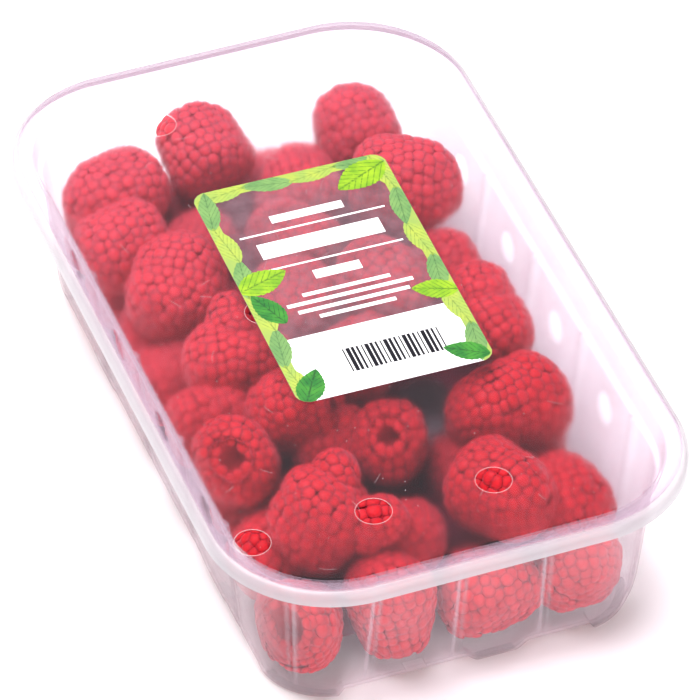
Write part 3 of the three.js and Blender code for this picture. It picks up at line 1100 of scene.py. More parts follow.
@dataclass
class LidFilm:
    """The flat film sealed on the flange, with punched holes and their bright rims."""

    shape: TrayShape
    inset: float = 1.8
    hole_radius: float = 4.15
    first_x: float = -48.4
    near_y: float = -71.3
    pitch_x: float = 28.9
    pitch_y: float = 71.3
    rim_width: float = 0.12
    rim_height: float = 0.1

    def hole_places(self) -> list[tuple[float, float]]:
        """Places the holes.

        Returns:
            Their middles.
        """
        middle = self.first_x + self.pitch_x
        near = [(self.first_x + i * self.pitch_x, self.near_y) for i in range(3)]
        return near + [(middle, self.near_y + self.pitch_y), (middle, self.near_y + 2 * self.pitch_y)]

    def sheet(self) -> bmesh.types.BMesh:
        """Makes the film with its holes.

        Returns:
            The film.
        """
        low, high = node_box(Node.FILM)
        bm = bmesh.new()
        radius = self.shape.corner - self.inset
        rounded_loop(bm, high.x, high.y, radius, low.z)
        for x, y in self.hole_places():
            spot = Matrix.Translation((x, y, low.z))
            bmesh.ops.create_circle(bm, segments=48, radius=self.hole_radius, matrix=spot)
        bmesh.ops.triangle_fill(bm, use_beauty=True, edges=bm.edges, normal=(0, 0, 1))
        grown = bmesh.ops.extrude_face_region(bm, geom=list(bm.faces))["geom"]
        lifted = [item for item in grown if isinstance(item, bmesh.types.BMVert)]
        bmesh.ops.translate(bm, vec=(0, 0, high.z - low.z), verts=lifted)
        bmesh.ops.recalc_face_normals(bm, faces=bm.faces)
        return bm

    def hole_rims(self) -> bmesh.types.BMesh:
        """Makes the thin raised rims round the holes.

        Returns:
            The rims.
        """
        top = node_box(Node.FILM)[1].z
        bm = bmesh.new()
        for x, y in self.hole_places():
            middle = Vector((x, y, top))
            profile = bmesh.ops.create_circle(bm, segments=8, radius=1.0)["verts"]
            for vert in profile:
                out = self.hole_radius + self.rim_width * (0.5 + 0.5 * vert.co.x)
                up = self.rim_height * (0.5 + 0.5 * vert.co.y)
                vert.co = middle + Vector((out, 0, up))
            edges = list({edge for vert in profile for edge in vert.link_edges})
            bmesh.ops.spin(
                bm,
                geom=profile + edges,
                cent=middle,
                axis=(0, 0, 1),
                angle=2 * math.pi,
                steps=48,
                use_merge=True,
            )
        bmesh.ops.recalc_face_normals(bm, faces=bm.faces)
        return bm

    def build(self) -> list[bpy.types.Object]:
        """Builds the film and dresses it.

        Returns:
            The pieces.
        """
        film = LidFilmFinish("film_haze").build()
        rim = ClearPlastic("film_hole_edge", tint="#ffdfe2", face_alpha=0.3, edge_alpha=0.6).build()
        return [
            add_piece(self.sheet(), "lid_film_sheet", [film], Node.FILM),
            add_piece(self.hole_rims(), "lid_film_hole_rims", [rim]),
        ]


@dataclass
class Lint:
    """The short hairs and specks of dust that lie on the film."""

    shape: TrayShape
    hairs: int = 46
    specks: int = 110
    hair_radius: float = 0.026
    hair_lengths: tuple[float, float] = (1.2, 5.0)
    hair_curl: float = 0.4
    speck_radius: float = 0.13
    speck_sizes: tuple[float, float] = (0.4, 1.2)
    edge_margin: float = 7.0
    seed: int = 11

    def spots(self, draws: np.random.Generator, count: int) -> np.ndarray:
        """Draws places on the film, more of them towards the near end.

        Args:
            draws: The random numbers.
            count: How many.

        Returns:
            The places.
        """
        top = node_box(Node.FILM)[1].z + self.hair_radius
        half_x = self.shape.width / 2 - self.edge_margin
        half_y = self.shape.length / 2 - self.edge_margin
        across = draws.uniform(-half_x, half_x, count)
        along = half_y * (1 - 2 * draws.uniform(0, 1, count) ** 0.75)
        return np.stack([across, along, np.full(count, top)], axis=1)

    def build(self) -> list[bpy.types.Object]:
        """Builds the lint and dresses it.

        Returns:
            The pieces.
        """
        draws = np.random.default_rng(self.seed)
        gather = MeshGatherer()
        line = [(-0.5, 0.0), *((along, 1.0) for along in (-0.4, -0.2, 0.0, 0.2, 0.4)), (0.5, 0.0)]
        thread, faces = turned_template(line, 4)
        blank = np.zeros(len(thread))
        for spot in self.spots(draws, self.hairs):
            length = draws.uniform(*self.hair_lengths)
            curl = draws.uniform(-self.hair_curl, self.hair_curl)
            turn = draws.uniform(0, math.pi)
            along = thread[:, 2] * length
            aside = thread[:, 0] * self.hair_radius + curl * length * (thread[:, 2] ** 2 - 0.1)
            x = along * math.cos(turn) - aside * math.sin(turn)
            y = along * math.sin(turn) + aside * math.cos(turn)
            points = np.stack([x, y, thread[:, 1] * self.hair_radius], axis=1) + spot
            gather.add(points, faces, blank, blank)
        for spot in self.spots(draws, self.specks):
            size = self.speck_radius * draws.uniform(*self.speck_sizes, 3)
            size[2] = 2 * self.hair_radius
            points = thread * size + spot
            gather.add(points, faces, blank, blank)
        finish = PlainPrint("lint_fibre", "#d8ccd2", "#b8a8b0", alpha=0.5).build()
        name = "lid_film_lint"
        return [add_mesh_piece(gather.mesh(name), name, [finish])]


@dataclass(frozen=True)
class Berry:
    """One berry: its middle, where its tip points, its size, and its open end where that shows.

    The mouth of an open end is given as a share of the width.
    """

    x: float
    y: float
    z: float
    heading: float
    pitch: float
    length: float
    width: float
    open_end: bool = False
    mouth: float = 0.22

    def axes(self) -> np.ndarray:
        """Finds its own axes.

        Returns:
            The directions of its side, its top and its tip, one to a row.
        """
        heading, pitch = math.radians(self.heading), math.radians(self.pitch)
        flat = math.cos(pitch)
        tip = Vector((math.cos(heading) * flat, math.sin(heading) * flat, math.sin(pitch)))
        side = Vector((-tip.y, tip.x, 0)).normalized()
        return np.array([side, tip.cross(side), tip])

    def to_tray(self, points: np.ndarray) -> np.ndarray:
        """Places points given along its own axes, from its middle, in the tray."""
        return points @ self.axes() + np.array([self.x, self.y, self.z])

    def distance(self, other: "Berry") -> float:
        """Measures the distance to another berry's middle."""
        return math.dist((self.x, self.y, self.z), (other.x, other.y, other.z))


# The berries that show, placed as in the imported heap.
SHOWN_BERRIES = (
    Berry(-33, 67, 30, 195, 0, 27, 22),
    Berry(-8, 73, 33, 100, 20, 23, 22),
    Berry(12, 60, 25, 80, 20, 23, 21),
    Berry(31, 72, 29, 100, 30, 22, 21),
    Berry(34, 45, 32, -20, -5, 28, 23),
    Berry(-38, 49, 30, 190, 0, 25, 22),
    Berry(-29, 31, 30, 60, 25, 27, 24),
    Berry(-17, 50, 21, 40, 10, 23, 20),
    Berry(3, 40, 27, 120, 0, 24, 21),
    Berry(-5, 18, 28, 250, 10, 24, 20),
    Berry(17, 15, 30, 300, 0, 25, 21),
    Berry(-24.5, 1.5, 30, -20, 0, 27, 20),
    Berry(-36, 16, 16, 0, 20, 23, 20),
    Berry(35, 22, 22, 80, 20, 21, 20),
    Berry(36, 2, 31, 85, 0, 19, 16),
    Berry(36, -9, 30, 280, 0, 18, 17),
    Berry(2, -6, 29, 30, 10, 23, 21),
    Berry(28, -34, 29, 190, 10, 31, 24),
    Berry(-20, -20, 31, 150, -20, 22, 20, open_end=True),
    Berry(-11, -29, 24, 20, 10, 22, 19),
    Berry(-1, -33, 26, 69, -55, 22, 19, open_end=True),
    Berry(-35, -8, 22, 0, 0, 24, 20),
    Berry(-38, -31, 31, 62, -45, 22, 21, open_end=True),
    Berry(-25.5, -54, 28.5, 185, -48, 23, 25),
    Berry(-6.5, -59, 22, 60, -20, 21, 18),
    Berry(17, -40, 18, 0, 0, 22, 19),
    Berry(16, -62, 31, -60, 10, 26, 23),
    Berry(31, -63, 25, 90, 20, 23, 20),
    Berry(-36, -49, 18, 30, 10, 22, 20),
    Berry(-37.4, -69.5, 13, 48, -36, 24, 23, open_end=True, mouth=0.3),
    Berry(-15.5, -72.5, 15, -70, -75, 28, 21),
    Berry(8.5, -72.5, 12, 0, 10, 25, 22),
    Berry(29.5, -71.5, 14, 90, 20, 25, 22),
)

# Small lobes that grow on the berries beside them.
LOBES = (
    Berry(-23.8, 8.5, 35, 80, 23, 17, 13),
    Berry(-20.5, -48.8, 35.0, 54, 47, 15, 13),
    Berry(-15.2, -62.0, 31.8, -12, 18, 15, 13.5),
)


@dataclass
class LowerLayer:
    """The seeded rows of berries on the tray's floor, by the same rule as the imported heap."""

    seed: int = 41
    height: float = 13.5
    pitch_x: float = 22.5
    pitch_y: float = 20.3
    columns: int = 4
    rows: int = 7
    first_y: float = -50.0
    spacing: float = 14.5
    length: float = 20.0
    width: float = 18.5
    spread_x: float = 3.0
    spread_y: float = 4.0
    spread_pitch: float = 30.0
    higher: float = 2.0
    longer: float = 4.0
    wider: float = 2.0
    gap_foot: Point = (22.0, 2.0, 0.0)
    gap_top: Point = (4.0, -44.0, 45.0)
    gap_radius: float = 7.0
    state: int = field(init=False, default=0)

    def draw(self) -> float:
        """Draws the next number from 0 to 1."""
        self.state = (self.state * 1664525 + 1013904223) & 0xFFFFFFFF
        return self.state / 2**32

    def gap_distance(self, berry: Berry) -> float:
        """Measures how far a berry's middle is from the gap's middle line.

        Args:
            berry: The berry.

        Returns:
            The distance.
        """
        foot, line = Vector(self.gap_foot), Vector(self.gap_top) - Vector(self.gap_foot)
        middle = Vector((berry.x, berry.y, berry.z))
        share = min(1.0, max(0.0, (middle - foot).dot(line) / line.length_squared))
        return (foot + line * share - middle).length

    def berries(self, shown: Iterable[Berry]) -> list[Berry]:
        """Places the berries where none that shows is in the way.

        Args:
            shown: The berries that show.

        Returns:
            The lower berries.
        """
        self.state = self.seed
        lower = []
        for row in range(self.rows):
            for column in range(self.columns):
                across = (column - (self.columns - 1) / 2) * self.pitch_x
                along = self.first_y + row * self.pitch_y
                berry = Berry(
                    x=across + self.spread_x * self.draw() - self.spread_x / 2,
                    y=along + self.spread_y * self.draw() - self.spread_y / 2,
                    z=self.height + self.higher * self.draw(),
                    heading=360 * self.draw(),
                    pitch=self.spread_pitch * self.draw() - self.spread_pitch / 2,
                    length=self.length + self.longer * self.draw(),
                    width=self.width + self.wider * self.draw(),
                )
                clear = all(berry.distance(other) >= self.spacing for other in shown)
                if clear and self.gap_distance(berry) > self.gap_radius + berry.width / 2:
                    lower.append(berry)
        return lower


@dataclass
class BerryForm:
    """The form of a berry: its outline, its hollow, and the drupelets that cover it."""

    fullness: float = 2.6
    roundness: float = 0.455
    open_width: float = 1.1
    taper: float = 0.28
    cavity_depth: float = 0.22
    row_step: float = 2.5
    across: float = 2.8
    relief: float = 0.8
    sink: float = 0.58
    sink_share: float = 0.9
    wide_overlap: float = 1.25
    long_overlap: float = 0.72
    uneven_place: float = 0.2
    uneven_size: float = 0.16
    uneven_lift: float = 0.2
    least_out: float = 0.4
    oval: float = 0.045
    lump: float = 0.03
    bend: float = 0.0035
    outline_steps: int = 160
    draws: np.random.Generator = field(default_factory=lambda: np.random.default_rng(7))

    def half_width(self, share: np.ndarray) -> np.ndarray:
        """Gives half the width at a share of the length.

        Args:
            share: The share, from the open end (0) to the tip (1).

        Returns:
            Half the width, for a width of 1.
        """
        off = np.abs(2 * share - 1)
        full = np.maximum(1 - off**self.fullness, 0.0) ** self.roundness
        return full * (self.open_width - self.taper * share) / 2

    def outline(self, berry: Berry) -> np.ndarray:
        """Traces the section from the open end to the tip.

        Args:
            berry: The berry.

        Returns:
            The points as distance along the axis from the middle, and out from it.
        """
        turn = np.linspace(0, math.pi, self.outline_steps)
        share = (1 - np.cos(turn)) / 2
        return np.stack([(share - 0.5) * berry.length, self.half_width(share) * berry.width], axis=1)

    def rows(self, line: np.ndarray, step: float) -> Iterable[tuple[np.ndarray, np.ndarray]]:
        """Steps along a section line in even rows.

        Args:
            line: The line's points.
            step: The distance between rows.

        Returns:
            Each row's point and the direction along the line there.
        """
        lengths = np.hypot(*np.diff(line, axis=0).T)
        run = np.concatenate([[0.0], np.cumsum(lengths)])
        count = max(2, round(run[-1] / step))
        for at in (np.arange(count + 1)) * run[-1] / count:
            point = np.array([np.interp(at, run, line[:, k]) for k in (0, 1)])
            ahead = np.array([np.interp(at + 0.2, run, line[:, k]) for k in (0, 1)])
            behind = np.array([np.interp(at - 0.2, run, line[:, k]) for k in (0, 1)])
            along = (ahead - behind) / max(1e-6, float(np.linalg.norm(ahead - behind)))
            yield point, along

    def drupelets(self, line: np.ndarray, step: float, across: float, inward: bool) -> np.ndarray:
        """Places the drupelets along a section line turned round the axis.

        Args:
            line: The line's points, from the middle of the open end side.
            step: The distance between rows.
            across: The width of a drupelet.
            inward: True for the wall of a hollow, whose drupelets face the axis.

        Returns:
            A 4 by 3 matrix for each: its three half axes, the last one outward, and its middle.
        """
        made = []
        offset = 0.0
        for point, along in self.rows(line, step):
            count = max(1, round(2 * math.pi * point[1] / across))
            room = 2 * math.pi * max(point[1], self.least_out) / count
            wide = min(across, room) / 2
            outward = np.array([-along[1], along[0]]) * (-1 if inward else 1)
            offset += math.pi / count
            for index in range(count):
                draw = self.draws.uniform(-1, 1, 5)
                angle = offset + 2 * math.pi * (index + self.uneven_place * draw[0]) / count
                made.append(self.drupelet(point, along, outward, angle, (wide, step), draw))
        return np.array(made)

    def drupelet(
        self,
        point: np.ndarray,
        along: np.ndarray,
        outward: np.ndarray,
        angle: float,
        size: tuple[float, float],
        draw: np.ndarray,
    ) -> list[np.ndarray]:
        """Places one drupelet.

        Args:
            point: Its place on the section line.
            along: The direction along the line there.
            outward: The direction off the line there.
            angle: How far it is turned round the axis.
            size: Half its width, and the distance between rows.
            draw: Random numbers from -1 to 1.

        Returns:
            Its three half axes, the last one outward, and its middle.
        """
        wide, step = size
        around = np.array([-math.sin(angle), math.cos(angle), 0.0])
        away = np.array([math.cos(angle), math.sin(angle), 0.0])
        normal = away * outward[1] + np.array([0, 0, outward[0]])
        forward = away * along[1] + np.array([0, 0, along[0]])
        swell = 1 + self.uneven_size * draw[1]
        lift = -self.sink * self.sink_share + self.uneven_lift * draw[2]
        shift = forward * self.uneven_place * step * draw[3]
        middle = away * point[1] + np.array([0, 0, point[0]]) + normal * lift + shift
        return [
            around * wide * self.wide_overlap * swell,
            forward * step * self.long_overlap * swell,
            normal * self.relief * swell,
            middle,
        ]

    def hollow_line(self, berry: Berry, lip: np.ndarray) -> np.ndarray:
        """Traces the wall of the hollow from its mouth to its foot.

        Args:
            berry: The berry.
            lip: The outline's point at the mouth.

        Returns:
            The points as distance along the axis from the middle, and out from it.
        """
        mouth = berry.mouth * berry.width
        start, depth = -berry.length / 2, self.cavity_depth * berry.length
        return np.array([
            [lip[0] + 0.6, mouth],
            [start + depth * 0.5, mouth],
            [start + depth, mouth * 0.85],
        ])

    def lumps(self, points: np.ndarray, berry: Berry) -> np.ndarray:
        """Makes a berry uneven: a little oval, lumpy and bent.

        Args:
            points: Points along the berry's own axes.
            berry: The berry, whose place seeds its lumps.

        Returns:
            The moved points.
        """
        own = np.random.default_rng([int(200 + berry.x), int(200 + berry.y)])
        draw = own.uniform(-1, 1, 6)
        angle = np.arctan2(points[:, 1], points[:, 0])
        along = points[:, 2]
        swell = 1 + self.oval * np.sin(2 * angle + 3 * draw[0])
        swell = swell + self.lump * np.sin(3 * angle + along * 0.2 + 9 * draw[1])
        swell *= 1 + self.lump * np.sin(along * 0.35 + 6 * draw[2])
        moved = points.copy()
        moved[:, :2] *= swell[:, None]
        bend = self.bend * (along**2 - 40)
        moved[:, 0] += bend * draw[3]
        moved[:, 1] += bend * draw[4]
        return moved


def dome_template() -> Surface:
    """Makes the dome that every drupelet copies, the part of a small ball that shows.

    Returns:
        Its vertices and its triangles.
    """
    bm = bmesh.new()
    bmesh.ops.create_icosphere(bm, subdivisions=2, radius=1.0)
    bmesh.ops.bisect_plane(
        bm,
        geom=list(bm.verts) + list(bm.edges) + list(bm.faces),
        plane_co=(0, 0, -DOME_CUT),
        plane_no=(0, 0, -1),
        clear_outer=True,
    )
    bmesh.ops.triangulate(bm, faces=bm.faces)
    return mesh_arrays(bm)


def mesh_arrays(bm: bmesh.types.BMesh) -> Surface:
    """Reads a triangulated bmesh into arrays and frees it.

    Args:
        bm: The bmesh.

    Returns:
        Its vertices and its triangles.
    """
    bm.verts.index_update()
    points = np.array([vert.co for vert in bm.verts])
    faces = np.array([[vert.index for vert in face.verts] for face in bm.faces])
    bm.free()
    return points, faces


def turned_template(line: Sequence[tuple[float, float]], segments: int = 20) -> Surface:
    """Turns a section line round the axis into a closed body.

    Args:
        line: Points as distance along the axis and out from it, from axis to axis.
        segments: The sides of the body.

    Returns:
        Its vertices and its triangles.
    """
    bm = bmesh.new()
    verts = [bm.verts.new((out, 0, along)) for along, out in line]
    edges = [bm.edges.new(pair) for pair in zip(verts, verts[1:])]
    bmesh.ops.spin(
        bm,
        geom=verts + edges,
        cent=(0, 0, 0),
        axis=(0, 0, 1),
        angle=2 * math.pi,
        steps=segments,
        use_merge=True,
    )
    bmesh.ops.remove_doubles(bm, verts=bm.verts, dist=1e-4)
    bmesh.ops.recalc_face_normals(bm, faces=bm.faces)
    bmesh.ops.triangulate(bm, faces=bm.faces)
    return mesh_arrays(bm)


@dataclass
class MeshGatherer:
    """Gathers many small shapes into one mesh, with marks on its vertices."""

    points: list[np.ndarray] = field(default_factory=list)
    faces: list[np.ndarray] = field(default_factory=list)
    crowns: list[np.ndarray] = field(default_factory=list)
    tones: list[np.ndarray] = field(default_factory=list)
    count: int = 0

    def add(self, points: np.ndarray, faces: np.ndarray, crown: np.ndarray, tone: np.ndarray) -> None:
        """Adds one shape.

        Args:
            points: Its vertices, in millimetres.
            faces: Its triangles.
            crown: How near each vertex is to a drupelet's crown, from 0 to 1.
            tone: How pale each vertex is, from 0 to 1.
        """
        self.points.append(points)
        self.faces.append(faces + self.count)
        self.crowns.append(crown)
        self.tones.append(tone)
        self.count += len(points)

    def mesh(self, name: str) -> bpy.types.Mesh:
        """Joins the shapes.

        Args:
            name: The mesh's name.

        Returns:
            The mesh, in metres.
        """
        mesh = bpy.data.meshes.new(name)
        points = np.concatenate(self.points) * MM
        mesh.from_pydata(points.tolist(), [], np.concatenate(self.faces).tolist())
        for mark, values in (("crown", self.crowns), ("tone", self.tones)):
            layer = mesh.attributes.new(mark, "FLOAT", "POINT")
            layer.data.foreach_set("value", np.concatenate(values).astype(np.float32))
        mesh.update()
        return mesh


@dataclass
class Heap:
    """The berries in the tray, with the core under them."""

    shape: TrayShape
    form: BerryForm = field(default_factory=BerryForm)
    core_bottom: float = 8.0
    core_top: float = 16.0
    core_inset: float = 24.0
    press_softness: float = 1.9
    drupelet_softness: float = 0.25
    body_margin: float = 0.9
    ridge_step: float = 1.3
    ridge_across: float = 0.7
    ridge_relief: float = 0.55
    buried_share: float = 0.42
    far_from: float = 16.0
    near_to: float = -36.0
    lower_coarseness: float = 1.25

    def buried(self, berry: Berry, points: np.ndarray) -> np.ndarray:
        """Finds the points that lie deep inside another berry that shows.

        Args:
            berry: The berry that the points belong to.
            points: The points, in the tray.

        Returns:
            For each point whether it is buried.
        """
        hidden = np.zeros(len(points), dtype=bool)
        for other in (*SHOWN_BERRIES, *LOBES):
            if other == berry:
                continue
            own = (points - np.array([other.x, other.y, other.z])) @ other.axes().T
            half = np.array([other.width, other.width, other.length]) * self.buried_share
            hidden |= np.sum((own / half) ** 2, axis=1) < 1
        return hidden

    def grow(self, berry: Berry, gather: MeshGatherer, dome: Surface, coarse: float) -> None:
        """Grows one berry into a mesh.

        Args:
            berry: The berry.
            gather: The mesh that it goes in.
            dome: The drupelet's vertices and triangles.
            coarse: How many times larger than usual its drupelets are.
        """
        form = self.form
        line = form.outline(berry)
        step, across = form.row_step * coarse, form.across * coarse
        # An open berry draws its whole outline too, so that the draws after it stay the same.
        sets = [form.drupelets(line, step, across, False)]
        if berry.open_end:
            keep = int(np.argmax(line[:, 1] > berry.mouth * berry.width))
            sets = [form.drupelets(line[keep:], step, across, False)]
            hollow = form.hollow_line(berry, line[keep])
            ridges = form.drupelets(hollow, step * self.ridge_step, across * self.ridge_across, True)
            ridges[:, 2] *= self.ridge_relief
            sets.append(ridges)
        frames = np.concatenate(sets)
        inner = np.arange(len(frames)) >= len(sets[0])
        shows = ~self.buried(berry, berry.to_tray(frames[:, 3] + frames[:, 2]))
        frames, inner = frames[shows], inner[shows]
        tone = float(form.draws.uniform(0, 0.5))
        self.add_drupelets(berry, frames, inner, gather, dome, tone)
        body, faces = turned_template(self.body_line(berry))
        hollow_mark = np.hypot(body[:, 0], body[:, 1]) < berry.mouth * berry.width + 1.0
        hollow_mark &= (body[:, 2] < -0.2 * berry.length) & berry.open_end
        placed = self.press(berry, body, self.anchors(berry, body, hollow_mark), self.body_margin)
        # The body under the drupelets takes part of the painted gap shade; the hollow takes none.
        crown = np.where(hollow_mark, 1.0, 0.3)
        gather.add(placed, faces, crown, np.where(hollow_mark, 1.0, tone * 0.5))

    def anchors(self, berry: Berry, points: np.ndarray, inner: np.ndarray) -> np.ndarray:
        """Finds the points that feel the walls: those of a hollow move with its mouth.

        Args:
            berry: The berry.
            points: Points along the berry's own axes.
            inner: Which of them belong to its hollow.

        Returns:
            The points that stand for them.
        """
        felt = points.copy()
        felt[inner, 2] = -berry.length / 2
        return felt

    def press(
        self,
        berry: Berry,
        points: np.ndarray,
        felt: np.ndarray,
        margin: float = 0.0,
    ) -> np.ndarray:
        """Places points in the tray, moved as the walls and the lid press them.

        Args:
            berry: The berry.
            points: Points along the berry's own axes.
            felt: For each the point that feels the walls.
            margin: How much farther inside they stay.

        Returns:
            The placed points.
        """
        form = self.form
        own = berry.to_tray(form.lumps(points, berry))
        anchor = berry.to_tray(form.lumps(felt, berry))
        return own + self.shape.keep_inside(anchor, self.press_softness, margin) - anchor

    def add_drupelets(
        self,
        berry: Berry,
        frames: np.ndarray,
        inner: np.ndarray,
        gather: MeshGatherer,
        dome: Surface,
        tone: float,
    ) -> None:
        """Adds a berry's drupelets, each moved whole until it clears the walls.

        Args:
            berry: The berry.
            frames: The half axes and middle of each drupelet.
            inner: Which of them line its hollow.
            gather: The mesh that they go in.
            dome: The drupelet's vertices and triangles.
            tone: How pale the berry is.
        """
        form = self.form
        points, faces = dome
        count, size = len(frames), len(points)
        middles = frames[:, 3]
        crests = middles + frames[:, 2]
        placed_crests = self.press(berry, crests, self.anchors(berry, crests, inner))
        moves = placed_crests - berry.to_tray(form.lumps(crests, berry))
        grown = np.einsum("vk,dkj->dvj", points, frames[:, :3]) + middles[:, None]
        placed = berry.to_tray(form.lumps(grown.reshape(-1, 3), berry)).reshape(count, size, 3)
        placed = (placed + moves[:, None]).reshape(-1, 3)
        placed = self.shape.keep_inside(placed, self.drupelet_softness)
        indices = (faces[None] + (np.arange(count) * size)[:, None, None]).reshape(-1, 3)
        crown = np.tile(np.clip((points[:, 2] + DOME_CUT) / (1 + DOME_CUT), 0, 1), count)
        tones = np.repeat(np.clip(tone + form.draws.uniform(-0.2, 0.4, count), 0, 1), size)
        gather.add(placed, indices, crown, tones)

    def body_line(self, berry: Berry) -> list[tuple[float, float]]:
        """Traces the body under the drupelets, with its hollow where the open end shows.

        Args:
            berry: The berry.

        Returns:
            Points along the axis and out from it.
        """
        form = self.form
        sink = form.sink
        turn = (1 - np.cos(np.linspace(0, math.pi, 11))) / 2
        outs = form.half_width(turn) * (berry.width - 2 * sink)
        alongs = (turn - 0.5) * (berry.length - 2 * sink)
        points = [(float(a), float(max(o, 0.0))) for a, o in zip(alongs, outs)]
        points[-1] = (points[-1][0], 0.0)
        if not berry.open_end:
            points[0] = (points[0][0], 0.0)
            return points
        mouth = berry.mouth * berry.width
        start, depth = -berry.length / 2, form.cavity_depth * berry.length
        hollow = [
            (start + depth + 0.5, 0.0),
            (start + depth + 0.2, mouth * 0.5),
            (start + depth * 0.7, mouth * 0.85),
            (start + 2.0, mouth + 0.7),
        ]
        return hollow + [p for p in points if p[1] > mouth + 1.0 or p[0] > 0]

    def core(self) -> bmesh.types.BMesh:
        """Makes the slab of fruit among the lowest berries, which is painted dark as shade.

        Returns:
            The slab.
        """
        lower = LowerLayer()
        bm = bmesh.new()
        middle = (self.core_bottom + self.core_top) / 2
        size = (
            self.shape.width - 2 * self.core_inset,
            self.shape.length - 2 * self.core_inset,
            self.core_top - self.core_bottom,
        )
        place = Matrix.Translation((0, 0, middle)) @ Matrix.Diagonal((*size, 1.0))
        bmesh.ops.create_cube(bm, size=1.0, matrix=place)
        foot, top = Vector(lower.gap_foot), Vector(lower.gap_top)
        line = top - foot
        bore = bmesh.new()
        turn = line.to_track_quat("Z", "Y").to_matrix().to_4x4()
        bmesh.ops.create_cone(
            bore,
            cap_ends=True,
            segments=24,
            radius1=lower.gap_radius,
            radius2=lower.gap_radius,
            depth=line.length * 1.2,
            matrix=Matrix.Translation((foot + top) / 2) @ turn,
        )
        return cut_away(bm, bore)

    def build(self) -> list[bpy.types.Object]:
        """Builds the berries and the core and dresses them.

        Returns:
            The pieces.
        """
        skin = BerrySkin("berry_skin").build()
        # Painted shade: the core's dark tones stand in for the shade among the lowest berries.
        core_shade_tones = {"crown": "#6a1426", "gap": "#3a0a16", "pale": "#7a1c2e"}
        dark = BerrySkin("berry_core_shade", shine=0.05, sheen=0.0, **core_shade_tones).build()
        dome = dome_template()
        far = [berry for berry in SHOWN_BERRIES if berry.y >= self.far_from]
        middle = [berry for berry in SHOWN_BERRIES if self.near_to <= berry.y < self.far_from]
        near = [berry for berry in SHOWN_BERRIES if berry.y < self.near_to] + list(LOBES)
        lower = LowerLayer().berries(SHOWN_BERRIES)
        pieces = []
        batches = (
            ("berries_far", far, 1.0),
            ("berries_middle", middle, 1.0),
            ("berries_near", near, 1.0),
            ("berries_lower", lower, self.lower_coarseness),
        )
        for name, berries, coarse in batches:
            gather = MeshGatherer()
            for berry in berries:
                self.grow(berry, gather, dome, coarse)
            mesh = gather.mesh(name)
            pieces.append(add_mesh_piece(mesh, name, [skin], Node.BERRIES))
        pieces.append(add_piece(self.core(), "berries_core", [dark], Node.BERRIES))
        return pieces


@dataclass
class LeafShape:
    """One printed leaf on the label: its middle, heading, length, width and the teeth of its edge."""

    x: float
    y: float
    turn: float
    length: float
    width: float
    teeth: int = 9
    tooth: float = 0.05


